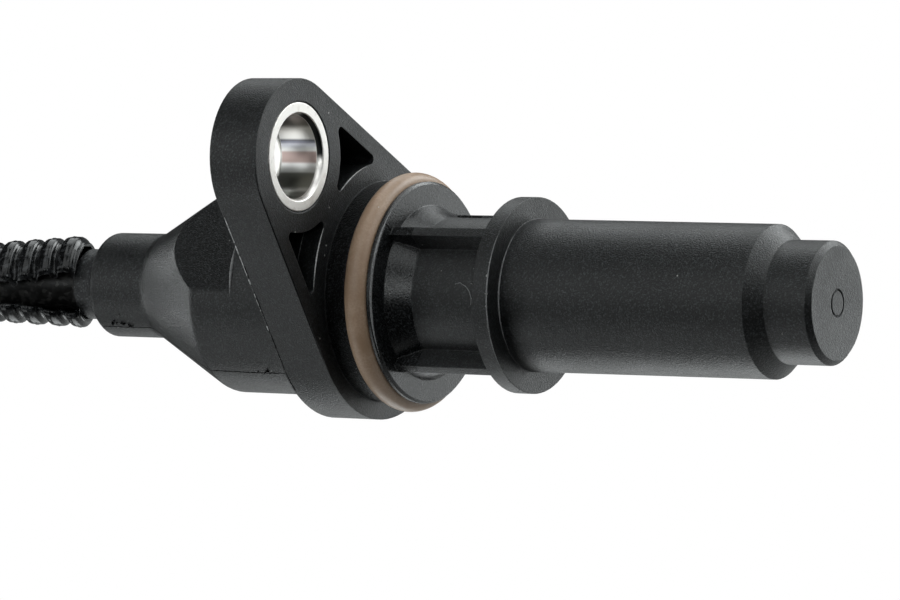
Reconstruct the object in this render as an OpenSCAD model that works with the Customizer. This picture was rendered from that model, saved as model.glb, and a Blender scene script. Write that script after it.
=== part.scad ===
// Crankshaft position sensor of the inductive kind, with its lead and plug.
// Lengths are in millimetres. The origin lies on the probe's axis, in the plane of the flange's seat face.
// +X runs along the probe to its tip, and +Z runs through the bolt hole.

/* [Probe] */
// Diameter of the probe at its root, and of the neck behind the collar
probe_d = 11.9; // [11.2:0.1:13]
// Diameter that the probe loses along its length, so that it leaves its mould
probe_draft = 0.15; // [0:0.05:0.4]
// Length of the probe from the collar to the shoulder
probe_len = 21; // [18:0.5:30]
// Length of the sloped shoulder
shoulder_len = 1.2; // [0.6:0.1:2]
// Diameter of the tip
tip_d = 9.4; // [8:0.1:10.4]
// Length of the tip
tip_len = 3.8; // [2.5:0.1:6]
// Chamfer round the tip's face
tip_chamfer = 0.4; // [0.2:0.1:0.8]
// Plastic between the tip's face and the pole pin
tip_wall = 0.8; // [0.5:0.1:1.2]
// Diameter of the ring that the mould's gate leaves on the tip's face
gate_d = 2; // [1.4:0.1:3]

/* [Neck] */
// Length of the neck from the boss to the collar
neck_len = 8.35; // [7:0.05:12]
// Thickness of the four ribs along the neck
rib_t = 0.8; // [0.6:0.1:1.4]
// Diameter of the collar and across the ribs
collar_d = 15.3; // [14.2:0.1:16.4]
// Thickness of the collar
collar_t = 1.35; // [1:0.05:2]
// Diameter of the neck's flared foot on the boss
foot_d = 13.8; // [13.2:0.1:15]
// Length of the flared foot
foot_len = 2; // [1:0.1:3]

/* [Boss and O-ring] */
// Diameter of the boss, for a bore half a millimetre wider
boss_d = 17.5; // [17:0.1:18.2]
// Length of the boss in front of the seat face
boss_len = 4.25; // [3.8:0.05:6]
// Outer diameter of the O-ring
ring_od = 18.9; // [18.6:0.1:19.4]
// Thickness of the O-ring
ring_section = 1.95; // [1.7:0.05:2.2]
// Thickness of the lip in front of the O-ring
lip_t = 0.45; // [0.3:0.05:0.8]
// Chamfer on the lip
lip_chamfer = 0.2; // [0.1:0.05:0.25]

/* [Flange] */
// Thickness of the flange
flange_t = 4.2; // [3.6:0.1:6]
// Distance from the probe's axis to the bolt hole
bolt_offset = 16.4; // [16:0.1:19]
// Radius of the ear round the bolt hole
ear_r = 6.05; // [5.8:0.05:7]
// Radius of the flange round the boss
round_r = 10.15; // [10:0.05:11.5]
// Inner diameter of the steel bush
bush_id = 6.4; // [6.2:0.1:6.6]
// Outer diameter of the steel bush
bush_od = 8.4; // [8.2:0.1:9]
// Depth of the two pockets in the seat face
pocket_depth = 3; // [1:0.1:3.2]
// Wall between a pocket and the flange's edge
pocket_wall = 1.3; // [1:0.1:1.6]
// Radius of the solid ring round the boss that the pockets keep clear of
boss_ring_r = 10.3; // [10:0.05:10.6]
// Radius of the solid ring round the bush that the pockets keep clear of
bush_ring_r = 5.85; // [5.5:0.05:6]
// Width of the bridge between the pockets
bridge_w = 1.5; // [1:0.1:2.5]

/* [Rear housing] */
// Diameter of the rear housing
rear_d = 16.8; // [15.5:0.1:17.4]
// Length of the rear housing's straight part
rear_len = 8.8; // [8:0.1:12]
// Height above the axis of the flat that clears the bolt's head
flat_h = 6.5; // [5.8:0.1:7.4]
// Length of the round collar between the flange and the flat
flat_start = 5; // [2:0.1:6]
// Length of the cone behind the straight part
cone_len = 7.5; // [6:0.1:10]
// Diameter of the strain relief tube
tube_d = 8.5; // [7.6:0.1:9.6]
// Length of the strain relief tube
tube_len = 5.4; // [4:0.1:9]
// Diameter of the spigot that the conduit slips over
spigot_d = 5.3; // [5.2:0.05:5.4]
// Length of the spigot
spigot_len = 1.8; // [1.2:0.1:2]

/* [Coil] */
// Diameter of the pole pin
pole_d = 3.6; // [3:0.1:4]
// Length of the bobbin from flange to flange
coil_len = 16; // [12:0.5:18]
// Diameter of the magnet and of the pole pin's head
magnet_d = 6; // [5:0.1:6.2]
// Length of the magnet
magnet_len = 6; // [4:0.1:7]
// Plastic between the coil and the outside of the probe
probe_wall = 1.2; // [1:0.05:1.3]

/* [Lead] */
// Outer diameter of the cable's jacket
cable_d = 4; // [3.9:0.05:4.2]
// Diameter of each insulated core
core_d = 1.5; // [1.2:0.05:1.5]
// Distance between the two cores
core_pitch = 2.4; // [2.3:0.05:2.4]
// Outer diameter of the split conduit
conduit_d = 6.6; // [6.4:0.05:6.8]
// Wall of the conduit, from the crest of a rib to the inside
conduit_wall = 0.55; // [0.45:0.05:0.6]
// Half of the angle that the conduit's slit leaves open
slit_half = 16; // [12:1:30]

/* [Plug] */
// Width of the plug's body
plug_w = 12; // [11:0.1:15]
// Height of the plug's body
plug_h = 10; // [9.6:0.1:13]
// Length of the plug's body behind its nose
plug_len = 14; // [13:0.5:18]
// Length of the plug's nose
nose_len = 12; // [11:0.5:14]
// Step from the body down to the nose
nose_step = 1.2; // [1:0.1:1.4]

/* [Hidden] */

$fn = 96;
eps = 0.01;
fit_gap = 0.05;

// Stations along the probe's axis, from the tip back to the spigot
x_boss = boss_len;
x_collar_back = x_boss + neck_len;
x_collar_front = x_collar_back + collar_t;
x_shoulder = x_collar_front + probe_len;
x_tip_root = x_shoulder + shoulder_len;
x_tip = x_tip_root + tip_len;
x_back = -flange_t;
x_flat = x_back - flat_start;
x_rim = x_back - rear_len;
x_cone_end = x_rim - cone_len;
x_tube = x_cone_end - tube_len;
x_spigot = x_tube - spigot_len;

// Radii of the turned outline
neck_r = probe_d / 2;
probe_end_r = (probe_d - probe_draft) / 2;
tip_r = tip_d / 2;
collar_r = collar_d / 2;
boss_r = boss_d / 2;
rear_r = rear_d / 2;
tube_r = tube_d / 2;
spigot_r = spigot_d / 2;

// O-ring groove, as wide as the ring and a gap on each side
ring_r = ring_section / 2;
ring_centre_r = ring_od / 2 - ring_r;
groove_r = ring_od / 2 - ring_section;
x_groove_front = x_boss - lip_t;
x_ring = x_groove_front - fit_gap - ring_r;
x_groove_back = x_ring - ring_r - fit_gap;

// Roundings of the rear housing
cone_angle = atan((rear_r - tube_r) / cone_len);
rim_round = 1;
throat_round = 1.5;
tube_round = 0.5;
arc_steps = 6;

// Ring that the mould's gate leaves
gate_w = 0.2;
gate_depth = 0.12;

// Rounding of the pockets' corners
pocket_round = 0.4;

// Steel bush, with a groove that keys it in the flange
bush_r = bush_od / 2;
bush_bore_r = bush_id / 2;
bush_chamfer = 0.2;
bush_lead_in = 0.55;
bush_key_depth = 0.3;
bush_key_w = 1;
bush_recess = 0.12;

// Coil, magnet and pole pin on the probe's axis
pole_r = pole_d / 2;
magnet_r = magnet_d / 2;
bobbin_r = probe_end_r - probe_wall;
bobbin_core_r = pole_r + 0.7;
winding_r = bobbin_r - 0.3;
bobbin_flange_t = 1;
pole_head_t = 1;
x_pole = x_tip - tip_wall;
x_bobbin = x_shoulder - 0.4;
x_coil_rear = x_bobbin - coil_len;
x_head = x_coil_rear;
x_coil = x_coil_rear + bobbin_flange_t;
x_terminal = x_coil_rear + bobbin_flange_t / 2;
x_magnet = x_head - pole_head_t;
x_magnet_rear = x_magnet - magnet_len;
x_carrier = x_magnet_rear - 1;

// Terminals that run back from the bobbin beside the magnet and step in to the crimps
terminal_t = 0.6;
terminal_w = 1.4;
terminal_y = magnet_r + 0.3;
terminal_step_x = x_carrier - 1.5;
core_y = core_pitch / 2;
core_r = core_d / 2;
copper_r = 0.45;
crimp_r = 0.95;
crimp_len = 4;
x_crimp = terminal_step_x - 2;
x_crimp_rear = x_crimp - crimp_len;

// Lead: the cable starts inside the cone and leaves through the spigot
cable_r = cable_d / 2;
conduit_r = conduit_d / 2;
x_cable = x_cone_end + 2.5;
x_conduit = x_tube - 0.2;
conduit_flare = 0.6;
flare_len = 8;
slit_turn = 54;
slit_spread = 13;
cable_sides = 12;
cable_straight = 0.4;
conduit_steps = 11;

// Route of the lead, as [x, y, z] from the strain relief's end. It tilts on the spigot, turns over and hangs
// down beside the probe's plane, folds once and comes up beside itself to the plug.
lead_y = -6;
LEAD_ROUTE = [
    [-2.7, -0.36, 0.38], [-5.9, -1.03, 1.08], [-9.8, -1.85, 1.95], [-15.5, -3, 2.8], [-23, -4.2, 2.2],
    [-33, -5.3, -1.2], [-43, -5.9, -8.6], [-50.5, lead_y, -18.8], [-54, lead_y, -31], [-54, lead_y, -43],
    [-54, lead_y, -55], [-54, lead_y, -66], [-52.5, lead_y, -76], [-49, lead_y, -87], [-44.5, lead_y, -98],
    [-40, lead_y, -108], [-37, lead_y, -118], [-37, lead_y, -128], [-40, lead_y, -138], [-47, lead_y, -146],
    [-57.5, lead_y, -149], [-68, lead_y, -146], [-75, lead_y, -138], [-78, lead_y, -128], [-78, lead_y, -118],
    [-75, lead_y, -108], [-70.5, lead_y, -98], [-66, lead_y, -87], [-62.5, lead_y, -76], [-61, lead_y, -66],
    [-61, lead_y, -55], [-62, lead_y, -45], [-65, lead_y, -35], [-69, lead_y, -25]
];
lead_points = [for (p = LEAD_ROUTE) [x_tube, 0, 0] + p];
lead_path = concat([[x_conduit, 0, 0]], lead_points);
cable_path = concat(
    [[x_cable, 0, 0], [x_spigot, 0, 0], [x_spigot - cable_straight, 0, 0]],
    [for (i = [1:len(lead_points) - 1]) lead_points[i]]
);

// Cable tie round the two runs, at the height where they pass beside each other
tie_z = -60;
tie_gap = 7;
tie_x = x_tube - 54 - tie_gap / 2;
tie_w = 3.6;
tie_t = 1;
tie_head = [5, 5.6, 4.6];

// Plug at the end of the lead
lead_end = lead_path[len(lead_path) - 1];
lead_turn = heading(lead_path, len(lead_path) - 1);
plug_tilt = atan2(lead_turn[0], lead_turn[2]);
plug_round = 2.5;
plug_collar_r = conduit_r + 1.4;
plug_collar_len = 5;
cable_end = 2;
wire_seal_w = 6.4;
wire_seal_h = 4.4;
wire_seal_z = 3;
wire_seal_len = 4;
contact_w = 1.9;
contact_z = 12;
contact_len = nose_len + plug_len - contact_z - 2;
wire_end = contact_z - 1;
slot_w = 0.8;
slot_h = 1.6;
seal_t = 0.9;
seal_len = 3;
lock_z = plug_len + 6;
lock_len = 2.4;
lock_w = 6;
snap_h = 1.2;
snap_len = 4;
snap_w = 5;
key_w = 1.4;
key_h = 0.6;

// Points of an arc about centre c, from angle a to angle b
function arc(c, r, a, b) = [for (i = [0:arc_steps]) let (t = a + (b - a) * i / arc_steps) c + r * [cos(t), sin(t)]];

// Unit direction of a route at point i. It leaves the sensor along the probe's axis.
function heading(path, i) =
    let (d = i == 0 ? [-1, 0, 0] : path[min(i + 1, len(path) - 1)] - path[i - 1])
    d / norm(d);

// Point of the section across a route at point i, at a radius and an angle that turns from +Z to -Y
function around(path, i, r, turn) =
    let (d = heading(path, i), n = [d[2], 0, -d[0]] / norm([d[0], d[2]]))
    path[i] + r * (cos(turn) * n + sin(turn) * cross(n, d));

// Share of the conduit's flare that is left at point i of its route
function flare_at(i) = max(0, 1 - norm(lead_path[i] - lead_path[0]) / flare_len);

// Angle of step k round the conduit at point i, clear of the slit
function conduit_turn(i, k) =
    let (half = slit_half + slit_spread * flare_at(i))
    slit_turn + half + (360 - 2 * half) * k / conduit_steps;

// Extrudes a flat shape along +X from x0 to x1. The shape's x and y become Y and Z.
module along_x(x0, x1) {
    translate([x0, 0, 0])
        rotate([90, 0, 90])
            linear_extrude(x1 - x0)
                children();
}

// Turns a profile of [radius, x] about the X axis
module turned() {
    rotate([90, 0, 90])
        rotate_extrude()
            children();
}

// Turned ring or rod between two radii and two stations
module ring_x(r0, r1, x0, x1) {
    turned()
        translate([r0, x0])
            square([r1 - r0, x1 - x0]);
}

// Places its children on the plug's axis, with +Z away from the lead
module at_plug() {
    translate(lead_end)
        rotate([0, plug_tilt, 0])
            children();
}

// Rectangle with round corners, centred
module rounded(w, h, r) {
    square([w - 2 * r, h], center = true);
    square([w, h - 2 * r], center = true);
    for (sx = [-1, 1], sy = [-1, 1])
        translate([sx * (w / 2 - r), sy * (h / 2 - r)])
            circle(r);
}

// Outline of the flange: two circles and their outer tangents
module flange_outline(big_r, small_r) {
    lean = asin((big_r - small_r) / bolt_offset);
    side = [cos(lean), sin(lean)];
    circle(big_r);
    translate([0, bolt_offset])
        circle(small_r);
    polygon([
        big_r * side,
        [0, bolt_offset] + small_r * side,
        [0, bolt_offset] + small_r * [-side[0], side[1]],
        big_r * [-side[0], side[1]]
    ]);
}

// The two pockets between the boss, the bush and the flange's sides
module pocket_outline() {
    difference() {
        flange_outline(round_r - pocket_wall, ear_r - pocket_wall);
        circle(boss_ring_r);
        translate([0, bolt_offset])
            circle(bush_ring_r);
        translate([-bridge_w / 2, 0])
            square([bridge_w, bolt_offset]);
    }
}

// Outline of the moulding about the probe's axis, from the spigot to the tip
module body_profile() {
    rim_shift = rim_round * tan(cone_angle / 2);
    throat_shift = throat_round * tan(cone_angle / 2);
    polygon(concat(
        [[0, x_spigot], [spigot_r, x_spigot], [spigot_r, x_tube]],
        arc([tube_r - tube_round, x_tube + tube_round], tube_round, -90, 0),
        arc([tube_r + throat_round, x_cone_end - throat_shift], throat_round, 180, 180 - cone_angle),
        arc([rear_r - rim_round, x_rim + rim_shift], rim_round, -cone_angle, 0),
        [
            [rear_r, x_back / 2], [boss_r, x_back / 2],
            [boss_r, x_groove_back], [groove_r, x_groove_back],
            [groove_r, x_groove_front], [boss_r, x_groove_front],
            [boss_r, x_boss - lip_chamfer], [boss_r - lip_chamfer, x_boss],
            [foot_d / 2, x_boss], [neck_r, x_boss + foot_len],
            [neck_r, x_collar_back], [collar_r, x_collar_back],
            [collar_r, x_collar_front], [neck_r, x_collar_front],
            [probe_end_r, x_shoulder], [tip_r, x_tip_root],
            [tip_r, x_tip - tip_chamfer], [tip_r - tip_chamfer, x_tip], [0, x_tip]
        ]
    ));
}

// Four ribs along the neck, in line with the bolt hole and across it
module neck_ribs() {
    along_x(x_boss - eps, x_collar_back + eps)
        intersection() {
            circle(collar_r);
            union() {
                square([rib_t, 2 * collar_d], center = true);
                square([2 * collar_d, rib_t], center = true);
            }
        }
}

// Room that the coil, the magnet and the wiring take up in the moulding
module inner_space() {
    ring_x(0, pole_r, x_bobbin - eps, x_pole);
    ring_x(0, bobbin_r, x_bobbin - bobbin_flange_t, x_bobbin);
    ring_x(0, winding_r, x_coil - eps, x_bobbin - bobbin_flange_t + eps);
    ring_x(0, bobbin_r, x_carrier, x_coil);
    for (side = [-1, 1]) {
        terminal(side, x_carrier + eps, crimp_r);
        core_room(side);
    }
    ring_x(0, cable_r + fit_gap, x_spigot - eps, x_cable);
}

// Straight way of one core from its crimp to the cable
module core_room(side) {
    translate([0, side * core_y, 0])
        ring_x(0, core_r, x_cable - eps, x_crimp_rear + eps);
}

// Terminal strip on one side, from a station in front back to its crimp barrel
module terminal(side, x_front, barrel_r) {
    scale([1, side, 1]) {
        translate([terminal_step_x, terminal_y, -terminal_w / 2])
            cube([x_front - terminal_step_x, terminal_t, terminal_w]);
        translate([terminal_step_x, core_y - terminal_t / 2, -terminal_w / 2])
            cube([terminal_t, terminal_y - core_y + terminal_t * 1.5, terminal_w]);
        translate([x_crimp - eps, core_y - terminal_t / 2, -terminal_w / 2])
            cube([terminal_step_x - x_crimp + 2 * eps, terminal_t, terminal_w]);
        translate([0, core_y, 0])
            ring_x(0, barrel_r, x_crimp_rear, x_crimp);
    }
}

// The bush as a plug without its bore, as the moulding grips it
module bush_blank() {
    key_x = (x_back - bush_key_w) / 2;
    translate([0, 0, bolt_offset])
        difference() {
            ring_x(0, bush_r, x_back, 0);
            ring_x(bush_r - bush_key_depth, bush_r + eps, key_x, key_x + bush_key_w);
        }
}

// Moulded body: flange, boss, neck, probe, rear housing and strain relief in one piece
module sensor_body() {
    color("#26282a")
    difference() {
        union() {
            turned()
                body_profile();
            along_x(x_back, 0)
                flange_outline(round_r, ear_r);
            neck_ribs();
        }
        along_x(-pocket_depth, eps)
            offset(r = pocket_round)
                offset(delta = -pocket_round)
                    pocket_outline();
        translate([x_spigot, -rear_d, flat_h])
            cube([x_flat - x_spigot, 2 * rear_d, rear_d]);
        bush_blank();
        translate([0, 0, bolt_offset])
            ring_x(bush_r - eps, bush_r + bush_recess, -bush_recess, eps);
        ring_x((gate_d - gate_w) / 2, (gate_d + gate_w) / 2, x_tip - gate_depth, x_tip + eps);
        inner_space();
    }
}

// Steel bush that takes the bolt's clamping load
module bolt_bush() {
    color("#d5d6d3")
    difference() {
        bush_blank();
        translate([0, 0, bolt_offset])
            turned()
                polygon([
                    [0, x_back - eps], [bush_bore_r + bush_chamfer + eps, x_back - eps],
                    [bush_bore_r, x_back + bush_lead_in], [bush_bore_r, -bush_lead_in],
                    [bush_bore_r + bush_chamfer + eps, eps], [0, eps]
                ]);
    }
}

// Rubber ring in the boss's groove
module o_ring() {
    color("#9b8c80")
    turned()
        translate([ring_centre_r, x_ring])
            circle(ring_r, $fn = 32);
}

// Soft iron pin that carries the field to the tip
module pole_pin() {
    color("#8d9196")
    union() {
        ring_x(0, pole_r, x_head, x_pole);
        ring_x(0, magnet_r, x_magnet, x_head);
    }
}

// Magnet behind the pole pin's head
module magnet() {
    color("#4a4d52")
    ring_x(0, magnet_r, x_magnet_rear, x_magnet);
}

// Bobbin with the carrier that holds the magnet and the terminals
module coil_bobbin() {
    color("#c9b48a")
    difference() {
        union() {
            ring_x(pole_r, bobbin_r, x_bobbin - bobbin_flange_t, x_bobbin);
            ring_x(pole_r, bobbin_core_r, x_coil - eps, x_bobbin - bobbin_flange_t + eps);
            ring_x(pole_r, bobbin_r, x_head, x_coil);
            ring_x(magnet_r, bobbin_r, x_magnet_rear - eps, x_head + eps);
            ring_x(0, bobbin_r, x_carrier, x_magnet_rear);
        }
        for (side = [-1, 1])
            terminal(side, x_terminal, crimp_r);
    }
}

// Copper winding between the bobbin's flanges, as one solid
module coil_winding() {
    color("#a5562a")
    ring_x(bobbin_core_r, winding_r, x_coil, x_bobbin - bobbin_flange_t);
}

// Terminal of one side, with the bore of its crimp
module body_terminal(side) {
    color("#b9a25c")
    difference() {
        terminal(side, x_terminal, crimp_r);
        translate([0, side * core_y, 0])
            ring_x(0, copper_r, x_crimp_rear - eps, x_crimp - terminal_t);
    }
}

// Core of the cable on one side: bare copper in the crimp, insulation behind it
module core_wire(side) {
    color("#7b2d26")
    translate([0, side * core_y, 0]) {
        ring_x(0, copper_r, x_crimp_rear - eps, x_crimp - terminal_t);
        ring_x(0, core_r, x_cable, x_crimp_rear);
    }
}

// Jacketed cable along the whole lead
module lead_cable() {
    color("#1b1c1e")
    round_tube(cable_path, cable_r, cable_sides, cable_end);
}

// Round tube along a route, run on straight by a length at its end
module round_tube(path, r, sides, run_on) {
    last = len(path) - 1;
    ahead = heading(path, last);
    long = concat(path, [path[last] + run_on * ahead]);
    rings = len(long);
    polyhedron(
        points = [for (i = [0:rings - 1], k = [0:sides - 1]) around(long, i, r, 360 * k / sides)],
        faces = concat(
            [[for (k = [0:sides - 1]) k]],
            [
                for (i = [0:rings - 2], k = [0:sides - 1])
                let (a = i * sides + k, b = i * sides + (k + 1) % sides)
                each [[a, a + sides, b], [b, a + sides, b + sides]]
            ],
            [[for (k = [sides - 1:-1:0]) (rings - 1) * sides + k]]
        )
    );
}

// Split conduit round the cable, spread open where it slips over the spigot
module lead_conduit() {
    color("#151617")
    split_tube(lead_path);
}

// Open tube along the conduit's route, with its outer points before its inner ones in each ring
module split_tube(path) {
    m = conduit_steps + 1;
    rings = len(path);
    points = [
        for (i = [0:rings - 1], wall = [0, conduit_wall], k = [0:conduit_steps])
        around(path, i, conduit_r + conduit_flare * flare_at(i) - wall, conduit_turn(i, k))
    ];
    outer = [for (i = [0:rings - 2], k = [0:m - 2]) let (a = 2 * m * i + k) [a, a + 2 * m, a + 2 * m + 1, a + 1]];
    inner = [for (q = outer) [q[3] + m, q[2] + m, q[1] + m, q[0] + m]];
    edges = [
        for (i = [0:rings - 2]) let (a = 2 * m * i, b = 2 * m * i + m - 1)
        each [[a + m, a + 3 * m, a + 2 * m, a], [b, b + 2 * m, b + 3 * m, b + m]]
    ];
    walls = [for (q = concat(outer, inner, edges)) each [[q[0], q[1], q[2]], [q[0], q[2], q[3]]]];
    start = [for (k = [0:m - 2]) [k, k + 1, k + 1 + m, k + m]];
    finish = [for (q = start) [for (j = [3:-1:0]) q[j] + 2 * m * (rings - 1)]];
    polyhedron(points = points, faces = concat(start, walls, finish));
}

// Cable tie that holds the folded lead
module cable_tie() {
    color("#202123")
    translate([tie_x, lead_y, tie_z - tie_w / 2]) {
        linear_extrude(tie_w)
            difference() {
                tie_outline(conduit_r + fit_gap + tie_t);
                tie_outline(conduit_r + fit_gap);
            }
        translate([-tie_head[0] / 2, -conduit_r - fit_gap - tie_t / 2 - tie_head[1] + tie_t / 2, -(tie_head[2] - tie_w) / 2])
            cube(tie_head);
    }
}

// Two circles on the lead's runs with straight sides between them
module tie_outline(r) {
    square([tie_gap, 2 * r], center = true);
    for (sx = [-1, 1])
        translate([sx * tie_gap / 2, 0])
            circle(r);
}

// Moulded plug body with its collar, nose, cavities and snap
module plug_housing() {
    nose_w = plug_w - 2 * nose_step;
    nose_h = plug_h - 2 * nose_step;
    color("#1f2123")
    at_plug()
        difference() {
            union() {
                translate([0, 0, -plug_collar_len])
                    cylinder(r = plug_collar_r, h = plug_collar_len + eps);
                linear_extrude(plug_len)
                    rounded(plug_h, plug_w, plug_round);
                translate([0, 0, plug_len - eps])
                    linear_extrude(nose_len + eps)
                        rounded(nose_h, nose_w, plug_round - nose_step);
                plug_snap();
                for (sy = [-1, 1])
                    translate([-nose_h / 2 - key_h, sy * nose_w / 4 - key_w / 2, plug_len + seal_len])
                        cube([key_h + plug_round, key_w, nose_len - seal_len]);
            }
            translate([0, 0, -plug_collar_len - eps])
                cylinder(r = conduit_r + fit_gap, h = plug_collar_len + eps);
            translate([0, 0, -2 * eps])
                cylinder(r = cable_r + fit_gap, h = cable_end + 2 * eps);
            translate([0, 0, wire_seal_z])
                linear_extrude(wire_seal_len)
                    rounded(wire_seal_h, wire_seal_w, wire_seal_h / 2 - eps);
            for (sy = [-1, 1])
                translate([0, sy * core_y, 0])
                    contact_room();
            terminal_lock_block(fit_gap);
        }
}

// Ramp on the plug's back that snaps into its socket
module plug_snap() {
    translate([plug_h / 2 - eps, snap_w / 2, plug_len - snap_len - 1])
        rotate([90, 0, 0])
            linear_extrude(snap_w)
                polygon([[0, 0], [snap_h, 0], [snap_h, 0.6], [0, snap_len]]);
}

// Way of one wire and its contact through the plug, open at the nose's face
module contact_room() {
    translate([0, 0, cable_end])
        cylinder(r = core_r, h = contact_z - cable_end);
    translate([0, 0, wire_end - crimp_len])
        cylinder(r = crimp_r, h = crimp_len + 1);
    translate([-contact_w / 2, -contact_w / 2, contact_z])
        cube([contact_w, contact_w, contact_len]);
    translate([-slot_h / 2, -slot_w / 2, contact_z])
        cube([slot_h, slot_w, plug_len + nose_len - contact_z + eps]);
}

// Silicone ring round the root of the plug's nose
module plug_seal() {
    nose_w = plug_w - 2 * nose_step;
    nose_h = plug_h - 2 * nose_step;
    color("#9c3b2a")
    at_plug()
        translate([0, 0, plug_len])
            linear_extrude(seal_len)
                difference() {
                    rounded(nose_h + 2 * seal_t, nose_w + 2 * seal_t, plug_round - nose_step + seal_t);
                    rounded(nose_h, nose_w, plug_round - nose_step);
                }
}

// Silicone block round both wires, behind the contacts
module wire_seal() {
    color("#a8442f")
    at_plug()
        difference() {
            translate([0, 0, wire_seal_z])
                linear_extrude(wire_seal_len)
                    rounded(wire_seal_h, wire_seal_w, wire_seal_h / 2 - eps);
            for (sy = [-1, 1])
                translate([0, sy * core_y, wire_seal_z - eps])
                    cylinder(r = core_r, h = wire_seal_len + 2 * eps);
        }
}

// Slide that keeps the contacts from backing out
module terminal_lock() {
    color("#c9c4b5")
    at_plug()
        terminal_lock_block(0);
}

// The lock's block, grown by a gap for its pocket
module terminal_lock_block(gap) {
    base = contact_w / 2 + fit_gap;
    height = plug_h / 2 - nose_step - base;
    translate([base - gap, -lock_w / 2 - gap, lock_z - gap])
        cube([height + 2 * gap, lock_w + 2 * gap, lock_len + 2 * gap]);
}

// Contact of one side: crimp barrel and spring box with the slot for the pin
module plug_terminal(side) {
    color("#c2c0b2")
    at_plug()
        translate([0, side * core_y, 0])
            difference() {
                union() {
                    translate([0, 0, wire_end - crimp_len])
                        cylinder(r = crimp_r, h = crimp_len + 1);
                    translate([-contact_w / 2, -contact_w / 2, contact_z])
                        cube([contact_w, contact_w, contact_len]);
                }
                translate([0, 0, wire_end - crimp_len - eps])
                    cylinder(r = core_r, h = crimp_len + eps);
                translate([-slot_h / 2, -slot_w / 2, contact_z + 1])
                    cube([slot_h, slot_w, contact_len]);
            }
}

// Wire of one side, from the end of the jacket to its contact
module plug_wire(side) {
    color("#7b2d26")
    at_plug()
        translate([0, side * core_y, cable_end])
            cylinder(r = core_r, h = wire_end - cable_end);
}

sensor_body();
bolt_bush();
o_ring();
pole_pin();
magnet();
coil_bobbin();
coil_winding();
body_terminal(-1);  // terminal_left
body_terminal(1);  // terminal_right
core_wire(-1);  // core_wire_left
core_wire(1);  // core_wire_right
lead_cable();
lead_conduit();
cable_tie();
plug_housing();
plug_seal();
wire_seal();
terminal_lock();
plug_terminal(-1);  // plug_terminal_left
plug_terminal(1);  // plug_terminal_right
plug_wire(-1);  // plug_wire_left
plug_wire(1);  // plug_wire_right
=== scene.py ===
"""Looks of a crankshaft position sensor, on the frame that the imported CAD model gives."""

import logging
import math
import random
from dataclasses import dataclass, field
from enum import Enum
from typing import Iterable, Optional, Sequence, Union

import bpy
import numpy as np
from mathutils import Matrix, Vector
from mathutils.bvhtree import BVHTree


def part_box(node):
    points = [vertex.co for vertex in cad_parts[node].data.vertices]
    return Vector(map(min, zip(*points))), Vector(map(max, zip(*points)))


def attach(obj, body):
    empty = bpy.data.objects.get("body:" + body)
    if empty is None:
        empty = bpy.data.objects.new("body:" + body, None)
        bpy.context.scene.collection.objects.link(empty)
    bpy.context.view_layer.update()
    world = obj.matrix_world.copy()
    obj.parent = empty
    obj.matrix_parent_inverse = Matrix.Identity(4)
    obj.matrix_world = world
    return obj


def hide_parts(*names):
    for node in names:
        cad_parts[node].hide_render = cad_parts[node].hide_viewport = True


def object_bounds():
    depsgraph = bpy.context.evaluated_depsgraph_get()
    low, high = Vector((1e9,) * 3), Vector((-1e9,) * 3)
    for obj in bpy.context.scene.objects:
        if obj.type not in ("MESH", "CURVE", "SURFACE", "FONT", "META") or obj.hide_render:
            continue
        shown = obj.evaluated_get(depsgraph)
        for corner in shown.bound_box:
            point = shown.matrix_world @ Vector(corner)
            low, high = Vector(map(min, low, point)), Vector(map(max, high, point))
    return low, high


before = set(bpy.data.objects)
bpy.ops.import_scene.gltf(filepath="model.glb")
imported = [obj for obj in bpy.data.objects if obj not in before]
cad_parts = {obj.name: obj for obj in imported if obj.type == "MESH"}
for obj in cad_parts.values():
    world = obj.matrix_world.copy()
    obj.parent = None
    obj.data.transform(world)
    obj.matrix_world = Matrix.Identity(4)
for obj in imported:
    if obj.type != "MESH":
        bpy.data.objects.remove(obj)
CAD_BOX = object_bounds()

LOG = logging.getLogger("sensor")
MM = 0.001
WHITE = (1.0, 1.0, 1.0)
DUST_GREY = (0.34, 0.34, 0.33)
DUST_PALE = (0.6, 0.56, 0.52)

Rgb = tuple[float, float, float]
Point = tuple[float, float, float]
Pair = tuple[float, float]
Spot = tuple[np.ndarray, np.ndarray]
Piece = bpy.types.Object
Material = bpy.types.Material
Socket = bpy.types.NodeSocket
Sockets = bpy.types.NodeOutputs
Input = Union[Socket, float, Sequence[float]]


class Effect(Enum):
    """Shader effects that several finishes share."""

    GRAIN = "grain"
    WEAR = "edge_wear"
    DUST = "dust"
    LATHE = "lathe_lines"
    CLOUD = "cloud"


class Trace(Enum):
    """Kinds of trace on the body: what the mould and handling left, and painted highlights and
    painted shade along edges.
    """

    # Dark seams, gaps and burrs, and also painted shade along the flange's front and back edges.
    SEAM = "dark seam or gap"
    FLASH = "pale crumbs of flash"
    # Pale flash on the flange's back edge, and painted highlights on the pockets' rims.
    RUBBED = "edge rubbed light"
    # A painted faint highlight on the rear flat's edge.
    PAINTED_FAINT_HIGHLIGHT = "faint light edge"
    # A worn scratch on the neck, and painted highlights on the lip, collar, probe root and pocket.
    WORN = "worn edge"


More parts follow.
